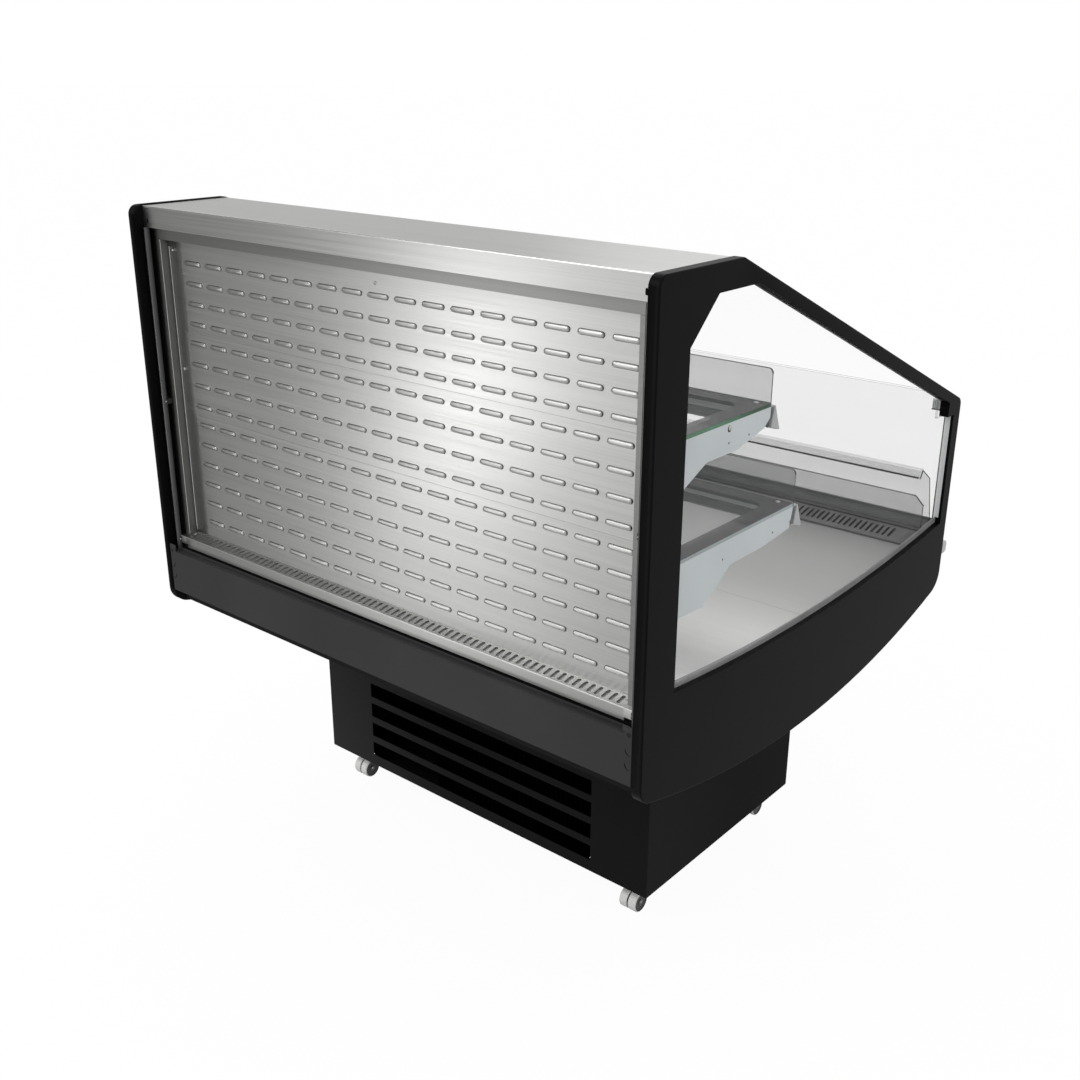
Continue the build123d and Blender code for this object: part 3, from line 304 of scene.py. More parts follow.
def printed_glass(name, node, edge_light, edge_dark):
    """Shelf glass: coloured cut edges that darken forwards, a printed grey border and a clear middle."""
    material, tree, shader = new_material(name)
    low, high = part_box(node)
    centre = ((low.x + high.x) / 2, (low.y + high.y) / 2)
    half_size = ((high.x - low.x) / 2 - PRINT_BORDER, (high.y - low.y) / 2 - PRINT_BORDER)
    distance = rounded_box_distance(tree, centre, half_size, PRINT_CORNER)
    printed = math_node(tree, "GREATER_THAN", distance, 0.0)
    edge = math_node(tree, "LESS_THAN", normal_part(tree, "Z"), EDGE_TURN)
    smears = noise(tree, PRINT_SMEARS, detail=4.0)
    top = mixed_colour(tree, printed, PRINT_CLEAR, ramp(tree, smears, *PRINT_INKS))
    start, end = (centre[1] + reach for reach in CUT_EDGE_FADE)
    forwards = smooth_step(tree, part_place(tree, "Y"), start, end)
    cut_edge = mixed_colour(tree, forwards, edge_light, edge_dark)
    tree.links.new(mixed_colour(tree, edge, top, cut_edge), shader.inputs["Base Color"])
    clear = math_node(tree, "ADD", CLEAR_ALPHA, math_node(tree, "MULTIPLY", printed, INK_ALPHA))
    cut = math_node(tree, "MULTIPLY", edge, CUT_EDGE_ALPHA)
    tree.links.new(math_node(tree, "MAXIMUM", clear, cut), shader.inputs["Alpha"])
    tree.links.new(span(tree, smears, *PRINT_ROUGH), shader.inputs["Roughness"])
    shader.inputs["IOR"].default_value = GLASS_IOR
    shader.inputs["Specular IOR Level"].default_value = PRINT_GLOSS
    return material


def colour_input(material):
    """A finished material's tree, its base colour input and what feeds it."""
    socket = material.node_tree.nodes["Principled BSDF"].inputs["Base Color"]
    return material.node_tree, socket, socket.links[0].from_socket


def deck_steel_painted_light(name):
    """Satin steel of the deck pans with painted light: bright at the back and painted shade towards the
    front.
    """
    material = brushed_steel(name, (0.5, 0.5, 0.495), (0.36, 0.46), 0.5, metallic=0.6, streak=0.05)
    tree, socket, streaks = colour_input(material)
    light = mixed_colour(tree, smooth_step(tree, part_place(tree, "Y"), *DECK_LIGHT_FADE), DECK_BACK_LIGHT, DECK_FRONT_SHADE)
    lifted = add_node(tree, "ShaderNodeVectorMath", operation="SCALE", Scale=DECK_LIFT)
    tree.links.new(streaks, lifted.inputs[0])
    product = add_node(tree, "ShaderNodeMix", data_type="RGBA", blend_type="MULTIPLY", Factor=1.0)
    tree.links.new(lifted.outputs[0], product.inputs[6])
    tree.links.new(light, product.inputs[7])
    tree.links.new(product.outputs[2], socket)
    return material


def coat_with_painted_light(name, pale, dark, specular, axis, fade):
    """Black coat of the base with painted light: paler at one end of a panel."""
    material = surface(name, (dark, dark, dark), 0.12, 3.0, (0.42, 0.52), 1600.0, specular=specular)
    tree, socket, clouds = colour_input(material)
    along = smooth_step(tree, part_place(tree, axis), *fade)
    tree.links.new(mixed_colour(tree, along, (pale, pale, pale), clouds), socket)
    return material


steel = brushed_steel("stainless_steel", (0.5, 0.5, 0.49), (0.28, 0.38), 0.6)
steel_wall = brushed_steel("stainless_wall", (0.5, 0.5, 0.49), (0.3, 0.4), 0.65)
# A darker copy of the wall steel: painted shade in the grooves round the louvre hoods
steel_groove_shade = brushed_steel("stainless_groove_painted_shade", (0.16, 0.16, 0.155), (0.34, 0.42), 0.5)
# A darker copy of the stainless steel: painted shade on the header strip under the canopy and on the end
# posts
steel_painted_shade = brushed_steel("stainless_painted_shade", (0.25, 0.25, 0.242), (0.34, 0.42), 0.5)
deck_painted_light = deck_steel_painted_light("deck_steel_painted_light")
screw_metal = surface("bright_screw", (0.62, 0.62, 0.61), 0.06, 60.0, (0.18, 0.26), 2000.0, metallic=1.0)
# Brighter than the stainless steel: a painted highlight on thin edge strips
highlight_steel = surface("painted_highlight_steel", (0.8, 0.8, 0.79), 0.05, 60.0, (0.16, 0.24), 2000.0, metallic=1.0)
tread = surface("castor_tread_white", (0.93, 0.93, 0.92), 0.04, 80.0, (0.4, 0.5), 2500.0)
# Dark grey: the castor hubs' own colour, and painted shade in the screws' cross recesses and under the glass
# clamps
hub_grey_and_shade = surface("castor_hub_grey_and_painted_shade", (0.045, 0.045, 0.046), 0.2, 90.0, (0.3, 0.4))
boss_grey = surface("castor_boss_grey", (0.12, 0.12, 0.12), 0.2, 90.0, (0.25, 0.35))
# Near black: the own colour of the canopy plugs and the display window, and painted shade on the walls of
# grooves, holes and recesses
black_and_recess_shade = surface("black_and_painted_recess_shade", (0.004, 0.004, 0.004), 0.3, 90.0, (0.5, 0.6), specular=BLACK_GLOSS)
rib_plastic = surface("ribbed_cap", (0.6, 0.61, 0.61), 0.06, 40.0, (0.4, 0.5))
clamp_plastic = surface("smoky_clamp", (0.72, 0.73, 0.73), 0.1, 60.0, (0.2, 0.3))
tray_grey = surface("tray_grey", (0.55, 0.55, 0.545), 0.08, 30.0, (0.4, 0.5))
seal_grey = clear_sheet("seal_grey", (0.4, 0.4, 0.4), 0.65, (0.4, 0.4, 0.4), 0.75, "X")
# Pale: the front seals' own colour, and a painted highlight on the ends of the air guard's lip fold
pale_seal_and_highlight = surface("pale_seal_and_highlight", (0.85, 0.86, 0.86), 0.04, 20.0, (0.3, 0.4), 1200.0)
black_gloss = {"specular": BLACK_GLOSS}
acrylic_edge = ((0.03, 0.03, 0.03), 0.95)
FINISHES = {
    "black_panel": surface("black_panel_coat", (0.046, 0.046, 0.047), 0.1, 4.0, (0.42, 0.5), specular=0.12),
    "black_plastic": surface("black_moulding", (0.004, 0.004, 0.0041), 0.12, 5.0, (0.42, 0.52), 1800.0,
                             **black_gloss),
    "stainless": steel,
    "dark_steel": surface("dark_grey_coat", (0.06, 0.06, 0.06), 0.1, 7.0, (0.4, 0.5), 1400.0, specular=0.3),
    "white_steel": surface("pale_grey_coat", (0.62, 0.62, 0.62), 0.04, 5.0, (0.36, 0.46), 1300.0),
    "bracket_steel": surface("bracket_coat", (0.76, 0.81, 0.83), 0.05, 8.0, (0.34, 0.42)),
    "pane_glass": clear_sheet("window_glass", (0.7, 0.73, 0.72), 0.03, (0.3, 0.32, 0.31), 0.35, "X"),
    "clear_acrylic": clear_sheet("clear_acrylic", (0.2, 0.205, 0.21), 0.22, *acrylic_edge, "Y"),
    "clear_rail": surface("grey_rail", (0.5, 0.51, 0.52), 0.06, 30.0, (0.25, 0.35), 900.0),
    "light_tube": surface("frosted_tube", (0.07, 0.072, 0.07), 0.1, 40.0, (0.12, 0.2), 900.0),
    "clip_plastic": surface("dark_clip", (0.03, 0.03, 0.031), 0.1, 20.0, (0.35, 0.45)),
    "bright_steel": screw_metal,
    "bumper_plastic": surface("pale_bumper", (0.66, 0.67, 0.67), 0.05, 10.0, (0.4, 0.5), 1200.0),
    "foam_body": surface("tub_coat", (0.012, 0.012, 0.0125), 0.12, 6.0, (0.45, 0.55), 1400.0, **black_gloss),
    "base_steel": surface("base_coat", (0.0065, 0.0065, 0.0066), 0.12, 3.0, (0.42, 0.52), 1600.0,
                          **black_gloss),
    "castor_plastic": surface("castor_nylon", (0.035, 0.035, 0.036), 0.1, 60.0, (0.35, 0.45), 2500.0),
    "castor_tread": tread,
    "dark_fins": surface("black_fins", (0.0012, 0.0012, 0.0012), 0.3, 40.0, (0.6, 0.7), 2000.0, specular=0.0),
    "fin_metal": surface("fin_metal", (0.5, 0.52, 0.54), 0.08, 40.0, (0.3, 0.4), 2000.0, metallic=1.0),
    "galvanised": surface("galvanised_sheet", (0.4, 0.42, 0.43), 0.2, 60.0, (0.35, 0.5), 300.0, metallic=0.9),
    "copper": surface("copper_tube", (0.6, 0.28, 0.16), 0.12, 50.0, (0.25, 0.4), metallic=1.0),
    "fan_plastic": surface("fan_nylon", (0.01, 0.01, 0.0105), 0.1, 30.0, (0.35, 0.45), 1800.0, **black_gloss),
    "compressor_paint": surface("black_enamel", (0.008, 0.008, 0.009), 0.15, 20.0, (0.2, 0.3), 1200.0),
    "rocker_plastic": surface("rocker_gloss", (0.012, 0.012, 0.012), 0.1, 90.0, (0.12, 0.2), 2500.0),
}
# Nodes that look different from the rest of their slot
LOOKS = {
    "front_glass": clear_sheet("front_pane", (0.25, 0.26, 0.26), 0.04, (0.6, 0.62, 0.61), 0.6, "Y"),
    "header_strip": steel_painted_shade,
    "base_grille_panel": coat_with_painted_light("base_back_painted_light", 0.03, 0.0065, BLACK_GLOSS, "X", BASE_LIGHT_FADE),
    "base_side_panels": coat_with_painted_light("base_side_painted_light", 0.012, 0.0015, 0.04, "Y", SIDE_LIGHT_FADE),
    "end_posts": steel_painted_shade,
    "deck_pan_back": deck_painted_light,
    "deck_pan_front": deck_painted_light,
    "air_guard": clear_sheet("guard_acrylic", (0.3, 0.305, 0.31), 0.2, *acrylic_edge, end_axis="X"),
    # Stainless grille shown as a dark grey coat: painted shade
    "return_grille_front": surface("grille_painted_shade", (0.11, 0.11, 0.11), 0.08, 12.0, (0.35, 0.45), 1400.0),
    "condenser_fan_shroud": FINISHES["dark_fins"],
    "shelf_glass_upper": printed_glass("upper_print", "shelf_glass_upper", (0.1, 0.3, 0.16),
                                       (0.015, 0.09, 0.035)),
    "shelf_glass_lower": printed_glass("lower_print", "shelf_glass_lower", (0.45, 0.5, 0.52),
                                       (0.5, 0.56, 0.58)),
}
slot_of = {part["node"]: part["material_slot"] for part in frame["record"]["subparts"]}


def paint(obj, material):
    """Gives an object one material."""
    obj.data.materials.clear()
    obj.data.materials.append(material)


for node, obj in frame["nodes"].items():
    paint(obj, LOOKS[node] if node in LOOKS else FINISHES[slot_of[node]])


# Meshes

WELD, CAD_WELD = 0.00001, 0.000001


def linked(name, mesh):
    """An object with a mesh, linked to the scene."""
    obj = bpy.data.objects.new(name, mesh)
    bpy.context.scene.collection.objects.link(obj)
    return obj


def node_copy(name, node):
    """A copy of a node's object, to be changed."""
    return linked(name, frame["nodes"][node].data.copy())


def welded(mesh, distance, outwards=True):
    """Joins a mesh's vertices that lie together, and turns its normals outwards if asked."""
    work = bmesh.new()
    work.from_mesh(mesh)
    bmesh.ops.remove_doubles(work, verts=work.verts, dist=distance)
    if outwards:
        bmesh.ops.recalc_face_normals(work, faces=work.faces)
    work.to_mesh(mesh)
    work.free()


def mesh_object(name, vertices, faces, materials, marks):
    """A smooth mesh object from lists, with a material number for each face."""
    mesh = bpy.data.meshes.new(name)
    mesh.from_pydata([tuple(v) for v in vertices], [], faces)
    for material in materials:
        mesh.materials.append(material)
    mesh.polygons.foreach_set("material_index", marks)
    obj = linked(name, mesh)
    welded(mesh, WELD)
    mesh.shade_smooth()
    return obj


def attach(obj, node, replace=False, body=CABINET):
    """Ties a piece to a body, and hides the node whose place it takes if asked."""
    if replace:
        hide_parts(node)
    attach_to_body(obj, body)


# Louvred wall panels: one sheet each, with its rows of pressed hoods

WALL_BACK = 48.0
WALL_FLANGE = 9.0
WALL_T = 0.9
WALL_SHARP = 50
LOUVRE_HALF = 19.65
LOUVRE_R = 4.1
CELL_HALF = 14.0
LOUVRE_PITCH = 62.2
LOUVRE_COLUMNS = 17
LOUVRE_SHIFT = 17.6
MIDDLE_SHIFT = 12.6
LOUVRE_ROWS = {
    "top": (LOUVRE_SHIFT, (1174.0, 1136.0, 1098.0, 1060.0)),
    "middle": (MIDDLE_SHIFT, (1023.0, 981.7, 940.4, 899.1)),
    "bottom": (LOUVRE_SHIFT, (862.0, 821.8, 781.6, 741.4, 701.2, 661.0)),
}
# Rings of a hood: how far in from its outline, and how far out of the wall
LOUVRE_RINGS = ((-0.8, 0.0), (-0.75, 0.0), (-0.3, -0.25), (0.05, 0.6), (0.25, 1.7), (0.7, 2.4), (1.2, 2.65),
                (3.5, 3.5), (4.05, 3.6))
# The rings of the groove round each hood take the darker steel: painted shade
PAINTED_SHADE_RINGS = (2, 3)
ARC_STEPS = 8
STRAIGHT_STEPS = 3
TINY = 1e-6


def stadium(inset):
    """Ring of a pill outline, anticlockwise from the lower left end of its lower side."""
    radius = LOUVRE_R - inset
    ring = []
    for sign in (1, -1):
        for i in range(STRAIGHT_STEPS):
            ring.append((sign * (-LOUVRE_HALF + 2 * LOUVRE_HALF * i / STRAIGHT_STEPS), -sign * radius))
        for i in range(ARC_STEPS):
            turn = math.pi * i / ARC_STEPS
            ring.append((sign * (LOUVRE_HALF + radius * math.sin(turn)), -sign * radius * math.cos(turn)))
    return ring


def cell_border(half_x, half_z):
    """Ring on a rectangle that matches the pill's ring point for point."""
    quarter = ARC_STEPS // 4
    ring = []
    for sign in (1, -1):
        for i in range(STRAIGHT_STEPS):
            ring.append((sign * (-LOUVRE_HALF + 2 * LOUVRE_HALF * i / STRAIGHT_STEPS), -sign * half_z))
        for i in range(quarter):
            ring.append((sign * (LOUVRE_HALF + (half_x - LOUVRE_HALF) * i / quarter), -sign * half_z))
        for i in range(2 * quarter):
            ring.append((sign * half_x, sign * (-half_z + half_z * i / quarter)))
        for i in range(quarter):
            ring.append((sign * (half_x - (half_x - LOUVRE_HALF) * i / quarter), sign * half_z))
    return ring


def louvre_sheet(node, row_heights, shift):
    """A wall panel as a sheet with pressed hoods, the size of its CAD node."""
    low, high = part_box(node)
    low_x, high_x, low_z, high_z = low.x / MM, high.x / MM, low.z / MM, high.z / MM
    half_x = LOUVRE_PITCH / 2
    vertices, faces, marks = [], [], []

    def ring_faces(outer, inner):
        count = len(outer)
        start = len(vertices)
        vertices.extend(outer + inner)
        for i in range(count):
            j = (i + 1) % count
            faces.append((start + i, start + j, start + count + j, start + count + i))

    def quad(*corners):
        start = len(vertices)
        vertices.extend(at(*corner) for corner in corners)
        faces.append((start, start + 1, start + 2, start + 3))
        marks.append(0)

    def flat(x0, x1, z0, z1):
        quad((x0, WALL_BACK, z0), (x1, WALL_BACK, z0), (x1, WALL_BACK, z1), (x0, WALL_BACK, z1))

    border = cell_border(half_x, CELL_HALF)
    columns = [(i - (LOUVRE_COLUMNS - 1) / 2) * LOUVRE_PITCH + shift for i in range(LOUVRE_COLUMNS)]
    for x in columns:
        for z in row_heights:
            rings = [[at(x + u, WALL_BACK, z + v) for u, v in border]]
            for inset, out in LOUVRE_RINGS:
                rings.append([at(x + u, WALL_BACK - out, z + v) for u, v in stadium(inset)])
            for number, (outer, inner) in enumerate(zip(rings, rings[1:])):
                marks.extend([1 if number in PAINTED_SHADE_RINGS else 0] * len(outer))
                ring_faces(outer, inner)
    left, right = columns[0] - half_x, columns[-1] + half_x
    edge_x = {round(x + u, 4) for x in columns for u, v in border if abs(abs(v) - CELL_HALF) < TINY}
    edge_z = sorted({round(v, 4) for u, v in border if abs(abs(u) - half_x) < TINY})
    every_x = sorted({low_x, high_x, *edge_x})
    gaps = [low_z, *(z + side * CELL_HALF for z in sorted(row_heights) for side in SIDES), high_z]
    for z0, z1 in zip(gaps[::2], gaps[1::2]):
        for x0, x1 in zip(every_x, every_x[1:]):
            flat(x0, x1, z0, z1)
    for z in row_heights:
        for z0, z1 in zip(edge_z, edge_z[1:]):
            flat(low_x, left, z + z0, z + z1)
            flat(right, high_x, z + z0, z + z1)
    for z in (low_z, high_z):
        for x0, x1 in zip(every_x, every_x[1:]):
            quad((x0, WALL_BACK, z), (x1, WALL_BACK, z), (x1, WALL_BACK + WALL_FLANGE, z),
                 (x0, WALL_BACK + WALL_FLANGE, z))
    sheet = mesh_object(f"{node}_sheet", vertices, faces, [steel_wall, steel_groove_shade], marks)
    thick = sheet.modifiers.new("sheet", "SOLIDIFY")
    thick.thickness = WALL_T * MM
    thick.offset = -1.0
    sheet.data.set_sharp_from_angle(angle=math.radians(WALL_SHARP))
    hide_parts(node)
    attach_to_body(sheet, CABINET)


for level, (shift, row_heights) in LOUVRE_ROWS.items():
    louvre_sheet(f"louvre_panel_{level}", row_heights, shift)

# Shapes of small pieces: lists of vertices, faces and material numbers

LENGTHWISE, DEPTHWISE, UPWARDS = Vector((1, 0, 0)), Vector((0, 1, 0)), Vector((0, 0, 1))
SHARP = 35
CUT_START = -0.5
GROOVE_TIP = 0.1


def turned(centre, axis, profile, marks=None, steps=40):
    """Shape of a profile of radii and places along an axis, turned about the axis."""
    side = LENGTHWISE if abs(axis.z) > 0.5 else UPWARDS
    other = axis.cross(side)
    middle = at(*centre)
    vertices, faces, paints = [], [], []
    for radius, along in profile:
        for i in range(steps):
            turn = 2 * math.pi * i / steps
            arm = side * math.cos(turn) + other * math.sin(turn)
            vertices.append(middle + (axis * along + arm * radius) * MM)
    for row in range(len(profile) - 1):
        for i in range(steps):
            j = (i + 1) % steps
            start, after = row * steps, (row + 1) * steps
            faces.append((start + i, start + j, after + j, after + i))
            paints.append(marks[row] if marks else 0)
    return vertices, faces, paints


def slab(corners, push, mark=0):
    """Shape of a flat outline of points pushed along a vector in millimetres."""
    count = len(corners)
    near = [at(*corner) for corner in corners]
    far = [point + Vector(push) * MM for point in near]
    sides = [(i, (i + 1) % count, count + (i + 1) % count, count + i) for i in range(count)]
    faces = [tuple(range(count)), tuple(range(2 * count - 1, count - 1, -1)), *sides]
    return near + far, faces, [mark] * len(faces)


def block(low, high, mark=0):
    """Shape of a box between two corners."""
    (x0, d0, z0), (x1, d1, z1) = low, high
    return slab([(x0, d0, z0), (x1, d0, z0), (x1, d0, z1), (x0, d0, z1)], (0, d1 - d0, 0), mark)


def bar(x, outline, length):
    """Shape of an outline of depths and heights, pushed along the length of the cabinet."""
    return slab([(x, depth, z) for depth, z in outline], (length, 0, 0))


def crescent(centre, radius, width, start, end, depth, steps=24):
    """Shape of a curved groove in a wall that faces back, from one angle in degrees to another."""
    x, d, z = centre
    vertices, faces = [], []
    for i in range(steps + 1):
        turn = math.radians(start + (end - start) * i / steps)
        inner = radius - GROOVE_TIP - width * math.sin(math.pi * i / steps)
        for out in (radius, inner):
            for level in (CUT_START, depth):
                vertices.append(at(x + out * math.cos(turn), d + level, z + out * math.sin(turn)))
    for i in range(steps):
        a, b = 4 * i, 4 * i + 4
        faces += [(a, a + 1, b + 1, b), (a + 2, b + 2, b + 3, a + 3),
                  (a, b, b + 2, a + 2), (a + 1, a + 3, b + 3, b + 1)]
    last = 4 * steps
    faces += [(0, 2, 3, 1), (last, last + 1, last + 3, last + 2)]
    return vertices, faces, [0] * len(faces)


def pill(centre, half_width, half_height, depth, steps=48):
    """Shape of an upright pill in a wall that faces back."""
    x, d, z = centre
    straight = half_height - half_width
    corners = []
    for i in range(steps):
        turn = 2 * math.pi * (i + 0.5) / steps
        v = half_width * math.sin(turn) + math.copysign(straight, math.sin(turn))
        corners.append((x + half_width * math.cos(turn), d, z + v))
    return slab(corners, (0, depth, 0))


def solid(name, shapes, materials, bevel=0.0, angle=SHARP):
    """One mesh object from several shapes."""
    vertices, faces, marks = [], [], []
    for points, polygons, paints in shapes:
        start = len(vertices)
        vertices += points
        faces += [tuple(start + i for i in polygon) for polygon in polygons]
        marks += paints
    obj = mesh_object(name, vertices, faces, materials, marks)
    if bevel:
        soft = obj.modifiers.new("edges", "BEVEL")
        soft.width = bevel * MM
        soft.segments = 2
        soft.limit_method = "ANGLE"
        soft.angle_limit = math.radians(angle)
    obj.data.set_sharp_from_angle(angle=math.radians(angle))
    return obj


def carved(name, node, shapes, material):
    """A copy of a node with shapes cut out of it, whose walls show a material."""
    obj = node_copy(name, node)
    welded(obj.data, CAD_WELD, outwards=False)
    cutter = solid(f"{name}_cutter", shapes, [material])
    cut = obj.modifiers.new("recess", "BOOLEAN")
    cut.operation = "DIFFERENCE"
    cut.solver = "EXACT"
    cut.material_mode = "TRANSFER"
    cut.object = cutter
    bpy.context.view_layer.update()
    mesh = bpy.data.meshes.new_from_object(obj.evaluated_get(bpy.context.evaluated_depsgraph_get()))
    obj.modifiers.clear()
    obj.data = mesh
    bpy.data.objects.remove(cutter)
    mesh.set_sharp_from_angle(angle=math.radians(SHARP))
    flat = obj.modifiers.new("flat", "WEIGHTED_NORMAL")
    flat.weight = 100
    flat.keep_sharp = True
    return obj


# End frames: the window's upper front corner, cut back to show the glass clamps

FRAME_INNER_X = 579.0
FRAME_CUT = 23.0
GUSSET = ((999.0, 870.3), (1021.0, 870.3), (1021.0, 901.2), (999.0, 910.8))
for side, hand in zip(SIDES, ("left", "right")):
    corner = bar(side * FRAME_INNER_X, GUSSET, side * FRAME_CUT)
    node = f"end_frame_{hand}"
    attach(carved(f"{node}_open", node, [corner], FINISHES["black_plastic"]), node, True)

# Castors: twin turned wheels close to a thin web

CASTOR_X = 375.0
AXLE_Z = 20.8
AXLE_DEPTHS = {"back": 316.0, "front": 748.0}
FORK_HALF = 3.75
FORK_REACH = 0.05
WEB_HALF = 0.9
HEAD_Z = (40.0, 56.0)
HEAD_RISE = 14.0
WHEEL_SHARP = 28
# Radii and places along the axle of one wheel, from the hub to the web
WHEEL_SIDE = ((0.0, 18.3), (2.3, 18.3), (2.5, 19.1), (5.6, 19.2), (6.4, 18.7), (6.9, 17.5), (15.6, 17.2),
              (18.2, 17.9), (18.6, 19.1), (19.9, 18.5), (20.5, 17.6), (20.8, 16.4), (20.8, 3.2), (20.4, 1.9),
              (19.6, 1.3), (3.0, 1.3))
WHEEL_MARKS = (3, 3, 2, 2, 1, 1, 1, 1, 0, 0, 0, 0, 0, 0, 1)

wheel_profile = [*WHEEL_SIDE, *((radius, -along) for radius, along in reversed(WHEEL_SIDE))]
wheel_marks = [*WHEEL_MARKS, 1, *reversed(WHEEL_MARKS)]
for hand, side_x in (("left", -CASTOR_X), ("right", CASTOR_X)):
    for end_name, axle_depth in AXLE_DEPTHS.items():
        node = f"castor_wheel_{end_name}_{hand}"
        shape = turned((side_x, axle_depth, AXLE_Z), LENGTHWISE, wheel_profile, wheel_marks, 64)
        wheel = solid(f"{node}_turned", [shape], [tread, hub_grey_and_shade, boss_grey, screw_metal], angle=WHEEL_SHARP)
        attach(wheel, node, True, node)
        node = f"castor_fork_{end_name}_{hand}"
        fork = node_copy(f"{node}_slim", node)
        for vertex in fork.data.vertices:
            off = vertex.co.x - side_x * MM
            if abs(abs(off) - FORK_HALF * MM) < FORK_REACH * MM:
                vertex.co.x = side_x * MM + math.copysign(WEB_HALF * MM, off)
            if HEAD_Z[0] < vertex.co.z / MM < HEAD_Z[1]:
                vertex.co.z += HEAD_RISE * MM
        attach(fork, node, True, node)

# Base frame: its castor rails stay behind the base panels

BASE_BOTTOM_Z = 73.0
RAIL_SHARE = 0.15

rails = node_copy("base_frame_flush", "base_frame")
for vertex in rails.data.vertices:
    below = BASE_BOTTOM_Z * MM - vertex.co.z
    if below > 0:
        vertex.co.z = BASE_BOTTOM_Z * MM - below * RAIL_SHARE
attach(rails, "base_frame", True)

# Lower back panel: two cap rims and a ring screw at each end. The rims are grooves cut only on the arc where
# shade falls, and rims and screw have near-black walls: painted shade.

CAPS = ((577.0, 566.0), (576.3, 541.3))
CAP_RIM = (8.4, 1.7)
SHADED_RIM_ARCS = {-1: (30, -105), 1: (150, 285)}
RIM_DEPTH = 0.9
TAB_SCREW = (574.8, 593.5)
SCREW_RING = ((2.3, -0.5), (3.4, -0.5), (3.4, 0.9), (2.3, 0.9), (2.3, -0.5))
SCREW_SOCKET = ((0.0, -0.5), (1.0, -0.5), (1.0, 0.8), (0.0, 0.8))

shapes = []
for side in SIDES:
    for x, z in CAPS:
        shapes.append(crescent((side * x, 0.0, z), *CAP_RIM, *SHADED_RIM_ARCS[side], RIM_DEPTH))
    x, z = TAB_SCREW
    shapes.append(turned((side * x, 0.0, z), DEPTHWISE, SCREW_RING, steps=32))
    shapes.append(turned((side * x, 0.0, z), DEPTHWISE, SCREW_SOCKET, steps=6))
attach(carved("lower_panel_rims", "lower_panel_back", shapes, black_and_recess_shade), "lower_panel_back", True)

# Canopy: an oval plug at each end of its face

PLUG = (566.5, 18.5, 1249.0)
PLUG_HALF = (2.4, 5.0)
PLUG_DEPTH = 0.8

x, depth, z = PLUG
shapes = [pill((side * x, depth + CUT_START, z), *PLUG_HALF, PLUG_DEPTH - CUT_START) for side in SIDES]
attach(carved("canopy_plugs", "canopy", shapes, black_and_recess_shade), "canopy", True)

# Return grille: a grey tray under its slots and lip ends

GRILLE_START = (22.0, 624.2)
GRILLE_SLOPE = 0.186
TRAY_HALF = 548.5
TRAY_DEPTHS = (21.6, 46.4)
TRAY_DROPS = (4.2, 5.0)
LIP_END = 549.75
LIP_LENGTH = 16.6
LIP = ((19.0, 607.8), (19.0, 622.6), (19.6, 623.5), (28.6, 625.2), (28.6, 624.2), (20.2, 622.6),
       (20.2, 607.8))


def grille_z(depth):
    """Height of the grille's surface."""
    return GRILLE_START[1] + GRILLE_SLOPE * (depth - GRILLE_START[0])


(near, far), (top, bottom) = TRAY_DEPTHS, TRAY_DROPS
tray = [(depth, grille_z(depth) - drop)
        for depth, drop in ((near, top), (far, top), (far, bottom), (near, bottom))]
attach(solid("grille_tray", [bar(-TRAY_HALF, tray, 2 * TRAY_HALF)], [tray_grey]), "return_grille_back")
lip_ends = [bar(side * LIP_END, LIP, side * LIP_LENGTH) for side in SIDES]
attach(solid("lip_ends", lip_ends, [steel]), "return_grille_back")

# Lower back panel's upstand under the lip

UPSTAND = ((-562.0, 14.0, 593.6), (562.0, 14.9, 599.0))

attach(solid("panel_upstand", [block(*UPSTAND)], [FINISHES["black_panel"]], bevel=0.3), "lower_panel_back")

# Painted highlights: strips of brighter steel on the canopy's back bend and the left post's folds, which the
# lamps also catch

BEND_HALF = 580.0
BEND = ((18.42, 1272.2), (18.6, 1273.5), (19.2, 1274.35), (20.6, 1274.62), (20.6, 1274.2), (19.4, 1273.6),
        (18.9, 1272.2))
FOLDS = (
    (629.5, 585.0, ((-549.4, 28.7), (-548.9, 29.2), (-549.4, 29.9), (-550.1, 28.7))),
    (632.0, 568.0, ((-549.3, 46.9), (-548.7, 47.5), (-548.7, 47.9), (-549.3, 47.9))),
)

bend = bar(-BEND_HALF, BEND, 2 * BEND_HALF)
attach(solid("canopy_bend", [bend], [highlight_steel], angle=60), "canopy")
folds = [slab([(x, depth, z) for x, depth in outline], (0, 0, height)) for z, height, outline in FOLDS]
attach(solid("post_folds", folds, [highlight_steel]), "end_posts")

# Latches of the return grille: a bright ring and, for a hole, a near-black disc of painted shade at each end

LATCH_PLACE, LATCH_HOLE_SHADE_PLACE = (541.8, 37.4, 627.0), (540.6, 32.1, 625.9)
LATCH_RING = ((1.5, -0.6), (1.5, 0.5), (1.9, 0.8), (2.6, 0.7), (2.9, -0.6))
LATCH_HOLE_SHADE = ((0.0, 0.12), (2.0, 0.12), (2.2, -0.5))
LATCH_AXIS = Vector((0, -0.18, 0.98))

latch = []
for side in SIDES:
    for (x, depth, z), profile, mark in ((LATCH_PLACE, LATCH_RING, 0), (LATCH_HOLE_SHADE_PLACE, LATCH_HOLE_SHADE, 1)):
        latch.append(turned((side * x, depth, z), LATCH_AXIS, profile, [mark] * len(profile), steps=32))
attach(solid("latch_rings", latch, [screw_metal, black_and_recess_shade]), "return_grille_back")

# Shelf brackets: holes, the rivet of the upper pair and the hooks under the front ends

